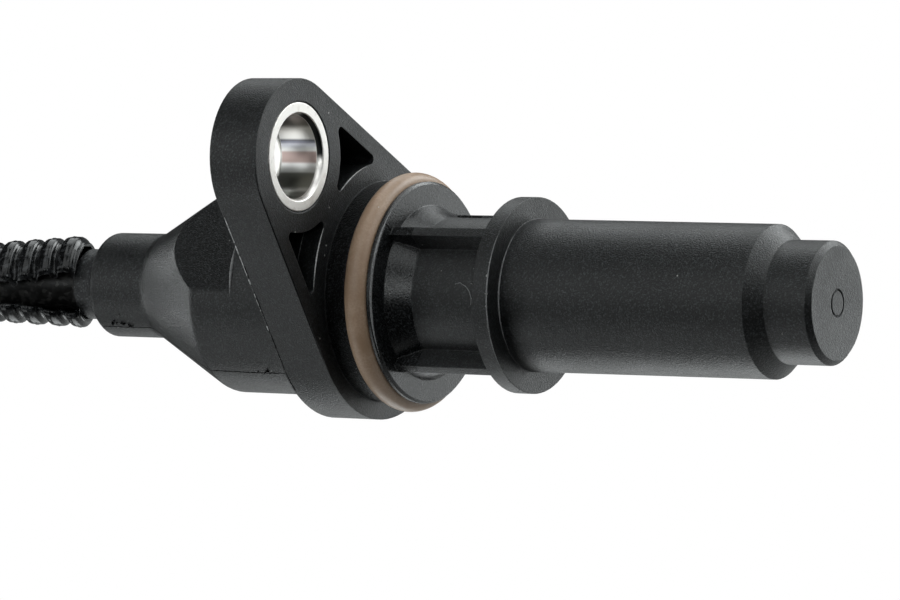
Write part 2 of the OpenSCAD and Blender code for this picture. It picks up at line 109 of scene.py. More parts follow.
class Graph:
    """Adds nodes to one node tree and links them."""

    def __init__(self, tree: bpy.types.NodeTree) -> None:
        """Starts on a tree."""
        self.tree = tree

    def find(self, kind: str) -> bpy.types.Node:
        """Finds a node that the tree came with."""
        return next(node for node in self.tree.nodes if node.type == kind)

    def node(self, kind: str, *values: Input, **settings: object) -> bpy.types.Node:
        """Adds a node.

        Args:
            kind: The node's type name, without the prefix ShaderNode.
            *values: Its first inputs, in order.
            **settings: Properties of the node to set.

        Returns:
            The new node.
        """
        made = self.tree.nodes.new("ShaderNode" + kind)
        for key, value in settings.items():
            setattr(made, key, value)
        for socket, value in zip(made.inputs, values):
            self.feed(socket, value)
        return made

    def feed(self, socket: Socket, value: Input) -> None:
        """Links a socket or sets its own value.

        Args:
            socket: The input socket.
            value: An output socket to link, or a constant.
        """
        if isinstance(value, Socket):
            self.tree.links.new(value, socket)
        else:
            socket.default_value = (*value, 1.0) if socket.type == "RGBA" else value

    def fill(self, node: bpy.types.Node, **values: Input) -> Sockets:
        """Feeds a node's inputs by name.

        Args:
            node: The node.
            **values: Values by socket name, with _ for a space.

        Returns:
            The node's outputs.
        """
        for name, value in values.items():
            self.feed(node.inputs[name.replace("_", " ")], value)
        return node.outputs

    def math(self, operation: str, *values: Input) -> Socket:
        """Adds a math node."""
        return self.node("Math", *values, operation=operation).outputs[0]

    def weigh(self, *parts: tuple[Input, Input]) -> Socket:
        """Adds up values, each with its own weight.

        Args:
            *parts: Values and weights.

        Returns:
            The sum.
        """
        total: Input = 0.0
        for value, weight in parts:
            total = self.math("MULTIPLY_ADD", value, weight, total)
        return total

    def ring(self, y: Input, z: Input) -> Socket:
        """Measures the distance from an axis along X."""
        return self.math("SQRT", self.weigh((y, y), (z, z)))

    def span(
        self, value: Input, low: float, high: float, to_low: float = 0.0, to_high: float = 1.0
    ) -> Socket:
        """Maps a range of values to another one, smoothly and clamped."""
        entries = (value, low, high, to_low, to_high)
        return self.node("MapRange", *entries, interpolation_type="SMOOTHSTEP").outputs[0]

    def band(self, value: Input, low: float, high: float, soft: float) -> Socket:
        """Masks a range of values with soft ends.

        Args:
            value: The value.
            low: Start of the range.
            high: End of the range.
            soft: Half the width of its soft ends.

        Returns:
            1 inside the range and 0 outside it.
        """
        rise = self.span(value, low - soft, low + soft)
        fall = self.span(value, high - soft, high + soft, 1.0, 0.0)
        return self.math("MULTIPLY", rise, fall)

    def layer(self, colour: Input, *coats: tuple[Input, Input]) -> Socket:
        """Lays colours over a colour, one after the other.

        Args:
            colour: The lowest colour.
            *coats: Masks and the colours that go on there.

        Returns:
            The colour that shows.
        """
        for mask, coat in coats:
            made = self.node("Mix", mask, data_type="RGBA")
            self.feed(made.inputs[6], colour)
            self.feed(made.inputs[7], coat)
            colour = made.outputs[2]
        return colour

    def noise(
        self, vector: Input, scale: Input, detail: float = 2.0, rough: float = 0.55
    ) -> Socket:
        """Adds a noise texture, about 0.5 on average."""
        values = {"Vector": vector, "Scale": scale, "Detail": detail, "Roughness": rough}
        return self.fill(self.node("TexNoise"), **values)["Fac"]

    def cells(self, vector: Input, scale: Input) -> Sockets:
        """Adds a Voronoi texture, which has the outputs Distance and Color."""
        return self.fill(self.node("TexVoronoi"), Vector=vector, Scale=scale)

    def vector(self, operation: str, first: Input, second: Input) -> Sockets:
        """Adds a vector math node."""
        return self.node("VectorMath", first, second, operation=operation).outputs

    def parts(self, vector: Input) -> Sequence[Socket]:
        """Splits a vector."""
        return list(self.node("SeparateXYZ", vector).outputs)

    def bump(
        self, height: Input, depth: float, strength: float, normal: Optional[Socket] = None
    ) -> Socket:
        """Adds a bump.

        Args:
            height: The height map.
            depth: Height of the full range, in metres.
            strength: How much of it shows.
            normal: The normal to start from, or None for the surface's own.

        Returns:
            The bumped normal.
        """
        values = {"Strength": strength, "Distance": depth, "Height": height}
        if normal is not None:
            values["Normal"] = normal
        return self.fill(self.node("Bump"), **values)[0]


class Effects:
    """Builds each shared effect once, as a node group.

    A noise is given by its scale, its octaves and how strong the finer ones are. A range
    says between which values a mask rises from 0 to 1.
    """

    GRAIN_FACTORS, GRAIN_NOISE = (2.7, 0.8, 1.2), (1.0, 0.5)
    GRAIN_WEIGHTS, GRAIN_RANGE = (0.62, 0.26, 0.22), (0.3, 0.72)
    WEAR_SAMPLES, WEAR_RANGE = 6, (0.995, 0.86)
    WEAR_PATCH = ((620.0, 4.0, 0.7), (0.5, 0.66))
    WEAR_CHIP = ((4200.0, 2.0, 0.6), (0.48, 0.66))
    DUST_SIZE, DUST_SOFT = (0.07, 0.04), 0.03
    LATHE_LINES = (("Height", 16000.0, 3.0, 3.0, 0.6), ("Tone", 3000.0, 2.0, 2.0, 0.5))
    CLOUD_NOISE, STREAK_NOISE = (3.0, 0.6), (2.0, 0.5)
    STREAK_STRETCH, STREAK_FACTOR = (0.25, 1.0, 1.0), 4.0
    CLOUD_WEIGHTS, CLOUD_RANGE = (0.65, 0.35), (0.32, 0.68)

    def __init__(self) -> None:
        """Builds all the groups."""
        self.groups: dict[Effect, bpy.types.NodeTree] = {}
        self._grain()
        self._wear()
        self._dust()
        self._lathe()
        self._cloud()

    def _start(
        self, effect: Effect, inputs: dict[str, Optional[float]], *outputs: str
    ) -> tuple[Graph, Sockets, bpy.types.Node]:
        """Makes an empty group with its sockets.

        Args:
            effect: The effect it is for.
            inputs: Default values by name, with None for a vector.
            *outputs: Names. All are numbers, apart from Normal.

        Returns:
            The graph, the group's inputs and its output node.
        """
        tree = bpy.data.node_groups.new(effect.value, "ShaderNodeTree")
        for name, value in inputs.items():
            kind = "NodeSocketVector" if value is None else "NodeSocketFloat"
            socket = tree.interface.new_socket(name=name, in_out="INPUT", socket_type=kind)
            if value is not None:
                socket.default_value = value
        for name in outputs:
            kind = "NodeSocketVector" if name == "Normal" else "NodeSocketFloat"
            tree.interface.new_socket(name=name, in_out="OUTPUT", socket_type=kind)
        self.groups[effect] = tree
        entry = tree.nodes.new("NodeGroupInput").outputs
        return Graph(tree), entry, tree.nodes.new("NodeGroupOutput")

    def _grain(self) -> None:
        """Spark-eroded mould grain: bumps with finer bumps and pits, their tone and specks."""
        graph, entry, leave = self._start(
            Effect.GRAIN, {"Position": None, "Density": 7000.0}, "Height", "Tone", "Speck"
        )
        place = entry["Position"]
        fine_at, pits_at, specks_at = (
            graph.math("MULTIPLY", entry["Density"], factor) for factor in self.GRAIN_FACTORS
        )
        coarse = graph.noise(place, entry["Density"], *self.GRAIN_NOISE)
        fine = graph.noise(place, fine_at, *self.GRAIN_NOISE)
        pits = graph.cells(place, pits_at)["Distance"]
        red, green, _ = graph.parts(graph.cells(place, specks_at)["Color"])
        graph.fill(
            leave,
            Height=graph.weigh(*zip((coarse, fine, pits), self.GRAIN_WEIGHTS)),
            Tone=graph.span(coarse, *self.GRAIN_RANGE),
            Speck=graph.math("MULTIPLY", red, green),
        )

    def _wear(self) -> None:
        """Rounded edges and the scuffs along them."""
        graph, entry, leave = self._start(
            Effect.WEAR, {"Position": None, "Radius": 0.1 * MM}, "Mask", "Scuff", "Normal"
        )
        rounded = graph.node("Bevel", entry["Radius"], samples=self.WEAR_SAMPLES).outputs[0]
        surface = graph.node("NewGeometry").outputs["Normal"]
        turn = graph.vector("DOT_PRODUCT", rounded, surface)["Value"]
        edge = graph.span(turn, *self.WEAR_RANGE)
        patch, chip = (
            graph.span(graph.noise(entry["Position"], *noise), *between)
            for noise, between in (self.WEAR_PATCH, self.WEAR_CHIP)
        )
        scuff = graph.math("MULTIPLY", edge, graph.math("MULTIPLY", patch, chip))
        graph.fill(leave, Mask=edge, Scuff=scuff, Normal=rounded)

    def _dust(self) -> None:
        """Sparse specks of dust."""
        graph, entry, leave = self._start(
            Effect.DUST, {"Position": None, "Density": 1500.0, "Share": 0.05}, "Mask"
        )
        cells = graph.cells(entry["Position"], entry["Density"])
        red, green, _ = graph.parts(cells["Color"])
        chosen = graph.math("LESS_THAN", red, entry["Share"])
        size = graph.math("MULTIPLY_ADD", green, *self.DUST_SIZE)
        outside = graph.math("SUBTRACT", cells["Distance"], size)
        inside = graph.span(outside, self.DUST_SOFT, -self.DUST_SOFT)
        graph.fill(leave, Mask=graph.math("MULTIPLY", chosen, inside))

    def _lathe(self) -> None:
        """Fine lines that a turning tool leaves, and broader ones in their tone."""
        graph, entry, leave = self._start(
            Effect.LATHE, {"Along": 0.0, "Around": 0.0}, "Height", "Tone"
        )
        for name, along, around, detail, rough in self.LATHE_LINES:
            x = graph.math("MULTIPLY", entry["Along"], along)
            y = graph.math("MULTIPLY", entry["Around"], around)
            place = graph.node("CombineXYZ", x, y).outputs[0]
            graph.fill(leave, **{name: graph.noise(place, 1.0, detail, rough)})

    def _cloud(self) -> None:
        """Slow changes of tone over a surface, with flow streaks along the part."""
        graph, entry, leave = self._start(
            Effect.CLOUD, {"Position": None, "Density": 160.0}, "Tone"
        )
        slow = graph.noise(entry["Position"], entry["Density"], *self.CLOUD_NOISE)
        along = graph.vector("MULTIPLY", entry["Position"], self.STREAK_STRETCH)["Vector"]
        dense = graph.math("MULTIPLY", entry["Density"], self.STREAK_FACTOR)
        streak = graph.noise(along, dense, *self.STREAK_NOISE)
        mixed = graph.weigh(*zip((slow, streak), self.CLOUD_WEIGHTS))
        graph.fill(leave, Tone=graph.span(mixed, *self.CLOUD_RANGE))


class Surface(Graph):
    """One material's graph, with its shader, the position on the part and the effects."""

    def __init__(self, material: Material, effects: Effects) -> None:
        """Starts on a new material.

        Args:
            material: The material.
            effects: The shared effects.
        """
        super().__init__(material.node_tree)
        self.effects = effects
        self.shader = self.find("BSDF_PRINCIPLED")
        self.place = self.node("TexCoord").outputs["Object"]

    def use(self, effect: Effect, **inputs: Input) -> Sockets:
        """Adds an effect, read at the position on the part.

        Args:
            effect: Which effect.
            **inputs: Its other inputs by name.

        Returns:
            The effect's outputs.
        """
        made = self.node("Group", node_tree=self.effects.groups[effect])
        if "Position" in made.inputs:
            inputs["Position"] = self.place
        return self.fill(made, **inputs)

    def show(self, **inputs: Input) -> None:
        """Feeds the shader."""
        self.fill(self.shader, **inputs)


@dataclass(frozen=True)
class Finish:
    """A material that is built once and shared by the pieces that have it."""

    name: str
    base: Rgb = (0.86, 0.86, 0.85)

    def material(self, effects: Effects) -> Material:
        """Builds the material, or returns it where it was built before.

        Args:
            effects: The shared effects.

        Returns:
            The material.
        """
        made = bpy.data.materials.get(self.name)
        if made is None:
            made = bpy.data.materials.new(self.name)
            made.use_nodes = True
            self.dress(Surface(made, effects))
        return made

    def tone(self, factor: float, extra: float = 0.0) -> Rgb:
        """Makes the base colour lighter or darker."""
        return tuple(min(1.0, part * factor + extra) for part in self.base)

    def dress(self, on: Surface) -> None:
        """Feeds the shader. Each kind of finish has its own way."""
        raise NotImplementedError


@dataclass(frozen=True)
class MouldedPlastic(Finish):
    """Injection-moulded plastic with the mould's grain, rounded edges, scuffs and dust. Its edges
    are paler too, partly as rubbed wear and partly as a painted highlight.
    """

    base: Rgb = (0.0048, 0.0053, 0.0056)
    rough: float = 0.42
    grain_per_m: float = 7500.0
    grain_depth: float = 0.06 * MM
    grain_strength: float = 0.85
    speck: float = 6.0
    edge: float = 0.11 * MM
    # Tone added at the edges: partly rubbed wear, partly a painted highlight.
    edge_wear_and_highlight_tone: float = 0.03
    scuff: float = 0.35
    dust: float = 0.02
    specular: float = 0.4

    # Factors of the base colour and what mixes them, the specks that glint, how far edges are made
    # paler (rubbed wear and a painted highlight), the tone of scuffs, and how cloud and grain
    # change the roughness.
    DARKEST, LIGHTEST, MOTTLE = 0.45, 1.5, (0.55, 0.45)
    GLINT, RUBBED, SCUFFED = (0.1, 0.9), 0.8, (2.0, 0.2)
    SHEEN = (-0.08, 0.06, 0.04)

    def zones(self, on: Surface, height: Socket, sheen: Socket) -> tuple[Socket, Socket]:
        """Changes the surface where the mould was treated otherwise. Here that is nowhere."""
        return height, sheen

    def dress(self, on: Surface) -> None:
        """Feeds the shader with grain, tone, scuffs and dust.

        Args:
            on: The material's graph.
        """
        grain = on.use(Effect.GRAIN, Density=self.grain_per_m)
        cloud = on.use(Effect.CLOUD)["Tone"]
        wear = on.use(Effect.WEAR, Radius=self.edge)
        dust = on.use(Effect.DUST, Share=self.dust)["Mask"]
        colour = on.layer(
            self.tone(self.DARKEST),
            (on.weigh(*zip((cloud, grain["Tone"]), self.MOTTLE)), self.tone(self.LIGHTEST)),
            (on.span(grain["Speck"], *self.GLINT), self.tone(1.0 + self.speck)),
            # Paler edges: partly rubbed wear, partly a painted highlight.
            (on.math("MULTIPLY", wear["Mask"], self.RUBBED), self.tone(1.0, self.edge_wear_and_highlight_tone)),
            (on.math("MULTIPLY", wear["Scuff"], self.scuff), self.tone(*self.SCUFFED)),
            (dust, DUST_GREY),
        )
        by_cloud, by_grain, offset = self.SHEEN
        sheen = on.math("MULTIPLY_ADD", cloud, by_cloud, self.rough + offset)
        sheen = on.math("MULTIPLY_ADD", grain["Tone"], by_grain, sheen)
        height, sheen = self.zones(on, grain["Height"], sheen)
        normal = on.bump(height, self.grain_depth, self.grain_strength, wear["Normal"])
        on.show(Base_Color=colour, Roughness=sheen, Normal=normal)
        on.show(Specular_IOR_Level=self.specular)


@dataclass(frozen=True)
class BodyNylon(MouldedPlastic):
    """The sensor body's nylon: etched on the boss and the rear flat, smooth in the throat.

    Etched zones are made a little metallic, because a dark metal reflects less.
    """

    boss_r: float = 8.75 * MM
    boss_x: Pair = (0.05 * MM, 3.2 * MM)
    boss_reach: float = 0.2 * MM
    flat_z: float = 6.5 * MM
    flat_x: Pair = (-30 * MM, -9.1 * MM)
    flat_reach: float = 0.1 * MM
    flat_share: float = 0.45
    throat_x: Pair = (3.7 * MM, 6.2 * MM)
    soft: float = 0.06 * MM
    etch: float = 0.8
    etch_density: float = 0.8
    etch_height: float = 1.7
    polish: float = 0.12
    polished_height: float = 0.35

    def zones(self, on: Surface, height: Socket, sheen: Socket) -> tuple[Socket, Socket]:
        """Etches the boss's side and the rear flat, and polishes the boss's face and throat.

        Args:
            on: The material's graph.
            height: Height of the grain.
            sheen: Roughness.

        Returns:
            The height and the roughness.
        """
        x, y, z = on.parts(on.place)
        etched = []
        for value, middle, reach, along in (
            (on.ring(y, z), self.boss_r, self.boss_reach, self.boss_x),
            (z, self.flat_z, self.flat_reach, self.flat_x),
        ):
            near = on.band(value, middle - reach, middle + reach, self.soft)
            etched.append(on.math("MULTIPLY", near, on.band(x, *along, self.soft)))
        flat = on.math("MULTIPLY", etched[1], self.flat_share)
        coarse = on.math("MAXIMUM", etched[0], flat)
        on.show(Metallic=on.math("MULTIPLY", coarse, self.etch))
        pits = on.use(Effect.GRAIN, Density=self.grain_per_m * self.etch_density)["Height"]
        depth = on.math("MULTIPLY", coarse, self.etch_height)
        height = on.math("MULTIPLY_ADD", pits, depth, height)
        smooth = on.band(x, *self.throat_x, self.soft)
        low = on.span(smooth, 0.0, 1.0, 1.0, self.polished_height)
        sheen = on.math("MULTIPLY_ADD", smooth, -self.polish, sheen)
        return on.math("MULTIPLY", height, low), sheen


@dataclass(frozen=True)
class TurnedMetal(Finish):
    """Metal turned on a lathe about an axis along X."""

    base: Rgb = (0.8, 0.79, 0.76)
    rough: float = 0.2
    axis_z: float = 0.0
    line_depth: float = 0.004 * MM
    edge: float = 0.06 * MM
    tarnish: Rgb = (0.5, 0.44, 0.38)

    CLOUD_PER_M, STAIN_RANGE, STAIN = 500.0, (0.55, 1.0), 0.3
    BANDS, BAND_TONE = 0.5, 0.82
    SHEEN, RELIEF = (0.16, -0.06), 0.6

    def bore(
        self, on: Surface, where: Sequence[Socket], colour: Socket, rough: Socket
    ) -> tuple[Socket, Socket]:
        """Changes the surface of a bore. A solid piece has none."""
        return colour, rough

    def dress(self, on: Surface) -> None:
        """Feeds the shader with tool lines, tarnish and rounded edges.

        Args:
            on: The material's graph.
        """
        centred = on.vector("ADD", on.place, (0.0, 0.0, -self.axis_z))["Vector"]
        x, y, z = on.parts(centred)
        ring = on.ring(y, z)
        around = on.math(
            "ARCTAN2", on.math("MULTIPLY", y, -1.0), on.math("MULTIPLY", z, -1.0)
        )
        lathe = on.use(Effect.LATHE, Along=on.math("ADD", x, ring), Around=around)
        cloud = on.use(Effect.CLOUD, Density=self.CLOUD_PER_M)["Tone"]
        wear = on.use(Effect.WEAR, Radius=self.edge)
        stain = on.math("MULTIPLY", on.span(cloud, *self.STAIN_RANGE), self.STAIN)
        bands = on.math("MULTIPLY", lathe["Tone"], self.BANDS)
        colour = on.layer(self.base, (stain, self.tarnish), (bands, self.tone(self.BAND_TONE)))
        by_lines, offset = self.SHEEN
        rough = on.math("MULTIPLY_ADD", lathe["Height"], by_lines, self.rough + offset)
        colour, rough = self.bore(on, (x, ring, around), colour, rough)
        normal = on.bump(lathe["Height"], self.line_depth, self.RELIEF, wear["Normal"])
        on.show(Base_Color=colour, Metallic=1.0, Roughness=rough, Normal=normal)


@dataclass(frozen=True)
class BushSteel(TurnedMetal):
    """The bush's steel, with light and dark streaks along its bore that are painted reflections.

    The chamfers at the bore's ends are darker: the back one all round, and the front one
    over the angles in shade.
    """

    bore_r: float = 3.2 * MM
    face_rough: float = 0.46
    chamfer: float = 0.2 * MM
    middle_x: Pair = (-2.4 * MM, -2.0 * MM)
    back_tint: Rgb = (0.34, 0.33, 0.31)
    shade: Pair = (-122.0, -38.0)
    shade_tint: Rgb = (0.03, 0.03, 0.03)
    # Angles and tints of the bore's streaks: painted reflections.
    streaks: tuple[tuple[float, Rgb], ...] = (
        (-140, (0.3, 0.27, 0.24)), (-92, (0.22, 0.2, 0.18)), (-83, (0.62, 0.59, 0.55)),
        (-67, (0.72, 0.7, 0.67)), (-64, (0.16, 0.16, 0.18)), (-61, (0.3, 0.3, 0.36)),
        (-58, (0.78, 0.78, 0.84)), (-50, (0.9, 0.89, 0.87)), (-46, (0.5, 0.38, 0.35)),
        (-34, (0.46, 0.35, 0.32)), (-30, (0.88, 0.86, 0.84)), (-20, (0.66, 0.66, 0.63)),
        (-16, (0.24, 0.24, 0.21)), (4, (0.34, 0.34, 0.3)), (12, (0.62, 0.61, 0.57)),
        (20, (0.26, 0.26, 0.23)),
    )

    # Where the wall ends and the chamfer starts, beyond the bore's radius, and soft ends.
    WALL, CHAMFER_FROM = 0.01 * MM, 0.03 * MM
    CHAMFER_SOFT, FACE_SOFT, SHADE_SOFT = 0.01 * MM, 0.02 * MM, 0.14

    def bore(
        self, on: Surface, where: Sequence[Socket], colour: Socket, rough: Socket
    ) -> tuple[Socket, Socket]:
        """Tints the bore and its chamfers, and dulls the faces.

        Args:
            on: The material's graph.
            where: Place along the axis, distance from it and angle round it, from -Z to -Y.
            colour: The colour so far.
            rough: The roughness so far.

        Returns:
            The colour and the roughness.
        """
        x, ring, around = where
        share = on.math("MULTIPLY_ADD", around, 0.5 / math.pi, 0.5)
        made = on.node("ValToRGB", share)
        made.color_ramp.interpolation = "EASE"
        # The bore's streaks are painted reflections.
        for angle, tint in self.streaks:
            made.color_ramp.elements.new(0.5 + angle / 360).color = (*tint, 1.0)
        start, end = self.bore_r + self.CHAMFER_FROM, self.bore_r + self.chamfer
        inside = on.span(ring, start, self.bore_r + self.WALL)
        cone = on.band(ring, start, end, self.CHAMFER_SOFT)
        front = on.span(x, *self.middle_x)
        back = on.math("SUBTRACT", 1.0, front)
        dark = on.band(around, *map(math.radians, self.shade), self.SHADE_SOFT)
        colour = on.layer(
            colour,
            (inside, made.outputs[0]),
            (on.math("MULTIPLY", cone, back), self.back_tint),
            (on.math("MULTIPLY", on.math("MULTIPLY", cone, front), dark), self.shade_tint),
        )
        face = on.span(ring, end - self.FACE_SOFT, end + self.FACE_SOFT)
        return colour, on.math("MULTIPLY_ADD", face, self.face_rough - self.rough, rough)


@dataclass(frozen=True)
class StampedMetal(Finish):
    """Rolled and plated strip, with its rolling lines and dull patches."""

    base: Rgb = (0.62, 0.5, 0.28)
    rough: float = 0.3
    edge: float = 0.08 * MM

    def dress(self, on: Surface) -> None:
        """Feeds the shader with rolling lines and dull patches.

        Args:
            on: The material's graph.
        """
        rolled = on.vector("MULTIPLY", on.place, (0.08, 1.0, 0.08))["Vector"]
        lines = on.noise(rolled, 14000.0, 2.0, 0.6)
        cloud = on.use(Effect.CLOUD, Density=700.0)["Tone"]
        wear = on.use(Effect.WEAR, Radius=self.edge)
        on.show(
            Base_Color=on.layer(
                self.base, (cloud, self.tone(0.68)), (wear["Mask"], self.tone(1.25))
            ),
            Metallic=1.0,
            Roughness=on.math("MULTIPLY_ADD", cloud, 0.2, self.rough - 0.08),
            Normal=on.bump(lines, 0.006 * MM, 0.4, wear["Normal"]),
        )


@dataclass(frozen=True)
class Rubber(Finish):
    """Moulded rubber with a fine bloom, and dust that sticks to it."""

    base: Rgb = (0.1, 0.07, 0.05)
    bloom: Rgb = (0.2, 0.15, 0.12)
    rough: float = 0.4
    dust: float = 0.08
    edge: float = 0.1 * MM
    depth: float = 0.01 * MM

    def dress(self, on: Surface) -> None:
        """Feeds the shader with bloom, fine texture and dust.

        Args:
            on: The material's graph.
        """
        grain = on.use(Effect.GRAIN, Density=6000.0)
        cloud = on.use(Effect.CLOUD, Density=320.0)["Tone"]
        wear = on.use(Effect.WEAR, Radius=self.edge)
        dust = on.use(Effect.DUST, Share=self.dust)["Mask"]
        tone = on.math("MULTIPLY", cloud, on.span(grain["Tone"], 0.0, 1.0, 0.4, 1.0))
        on.show(
            Base_Color=on.layer(
                self.base,
                (tone, self.bloom),
                (on.math("MULTIPLY", wear["Mask"], 0.25), self.bloom),
                (on.math("MULTIPLY", dust, 0.7), DUST_PALE),
            ),
            Roughness=on.math("MULTIPLY_ADD", cloud, 0.12, self.rough - 0.06),
            Normal=on.bump(grain["Height"], self.depth, 0.35, wear["Normal"]),
        )


@dataclass(frozen=True)
class Winding(Finish):
    """Enamelled copper wire, wound in close turns along X."""

    base: Rgb = (0.42, 0.13, 0.05)
    turn: float = 0.18 * MM

    def dress(self, on: Surface) -> None:
        """Feeds the shader with the turns of the wire.

        Args:
            on: The material's graph.
        """
        x = on.parts(on.place)[0]
        lean = on.math("MULTIPLY", on.noise(on.place, 400.0), self.turn * 0.6)
        phase = on.math("MULTIPLY", on.math("ADD", x, lean), math.pi / self.turn)
        turns = on.math("ABSOLUTE", on.math("SINE", phase))
        cloud = on.use(Effect.CLOUD, Density=700.0)["Tone"]
        # The wire is darker between the turns: painted shade in the grooves.
        plain = on.layer(self.tone(0.35), (turns, self.base))
        warm = on.layer(self.tone(0.35), (turns, self.tone(1.5)))
        on.show(
            Base_Color=on.layer(plain, (cloud, warm)),
            Metallic=0.75,
            Roughness=on.math("MULTIPLY_ADD", cloud, 0.1, 0.28),
            Coat_Weight=0.6,
            Normal=on.bump(turns, 0.06 * MM, 1.0),
        )


@dataclass(frozen=True)
class Paper(Finish):
    """The studio's paper: the camera sees it plain white, and it lights the part softly."""

    fibre: Rgb = (0.82, 0.82, 0.81)

    def dress(self, on: Surface) -> None:
        """Feeds the shader with the paper's fibres, and gives the camera plain white.

        Args:
            on: The material's graph.
        """
        fibres = on.noise(on.place, 900.0, 3.0, 0.6)
        on.show(Base_Color=on.layer(self.fibre, (fibres, self.base)), Roughness=0.9)
        seen = on.node("LightPath").outputs["Is Camera Ray"]
        glow = on.node("Emission", WHITE).outputs[0]
        shown = on.node("MixShader", seen, on.shader.outputs[0], glow).outputs[0]
        on.fill(on.find("OUTPUT_MATERIAL"), Surface=shown)


class MeshMaker:
    """Makes mesh objects from points and faces."""

    @staticmethod
    def make(
        name: str, points: np.ndarray, faces: Sequence[Sequence[int]], finish: Material
    ) -> Piece:
        """Makes a smooth-shaded mesh object at the origin.

        Args:
            name: The object's name.
            points: Its points, in metres.
            faces: Point numbers of each face.
            finish: Its material.

        Returns:
            The object.
        """
        mesh = bpy.data.meshes.new(name)
        mesh.from_pydata([tuple(map(float, point)) for point in points], [], faces)
        mesh.validate()
        mesh.shade_smooth()
        mesh.materials.append(finish)
        made = bpy.data.objects.new(name, mesh)
        bpy.context.scene.collection.objects.link(made)
        return made

    @staticmethod
    def grid(rows: int, columns: int, looped: bool = False) -> list[tuple[int, ...]]:
        """Faces of a grid of points, stored row by row, where each row is a closed ring.

        Args:
            rows: Rows of points.
            columns: Points in a row.
            looped: Whether the last row joins the first.

        Returns:
            The faces.
        """
        return [
            (row * columns + k, row * columns + m, after * columns + m, after * columns + k)
            for row, after in ((row, (row + 1) % rows) for row in range(rows - (not looped)))
            for k, m in ((k, (k + 1) % columns) for k in range(columns))
        ]

    @staticmethod
    def tube(name: str, rings: np.ndarray, finish: Material, flipped: bool = False) -> Piece:
        """Makes a tube with closed ends.

        Args:
            name: The object's name.
            rings: Points of each ring, as an array of rings, points and parts.
            finish: Its material.
            flipped: Whether the faces turn the other way.

        Returns:
            The object.
        """
        rows, columns, _ = rings.shape
        first = tuple(range(columns))
        last = tuple(range((rows - 1) * columns, rows * columns))
        faces = [*MeshMaker.grid(rows, columns), first[::-1], last]
        if flipped:
            faces = [face[::-1] for face in faces]
        return MeshMaker.make(name, rings.reshape(-1, 3), faces, finish)

    @staticmethod
    def turned(
        name: str, outline: Sequence[Pair], centre: Point, sides: int, finish: Material
    ) -> Piece:
        """Turns a closed outline about an axis along X.

        Args:
            name: The object's name.
            outline: Points (x, radius) of the closed outline.
            centre: A point on the axis.
            sides: Steps round the axis.
            finish: Its material.

        Returns:
            The object.
        """
        points = [
            (centre[0] + x, centre[1] - r * np.sin(a), centre[2] + r * np.cos(a))
            for a in np.linspace(0, 2 * np.pi, sides, endpoint=False)
            for x, r in outline
        ]
        faces = MeshMaker.grid(sides, len(outline), looped=True)
        return MeshMaker.make(name, np.array(points), faces, finish)


def declare(piece: Piece, replaced: Optional[str] = None) -> Piece:
    """Tells the frame what a new piece is.

    Args:
        piece: The piece.
        replaced: The CAD node that it stands for, if any.

    Returns:
        The piece.
    """
    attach(piece, "root")
    if replaced is not None:
        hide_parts(replaced)
    return piece


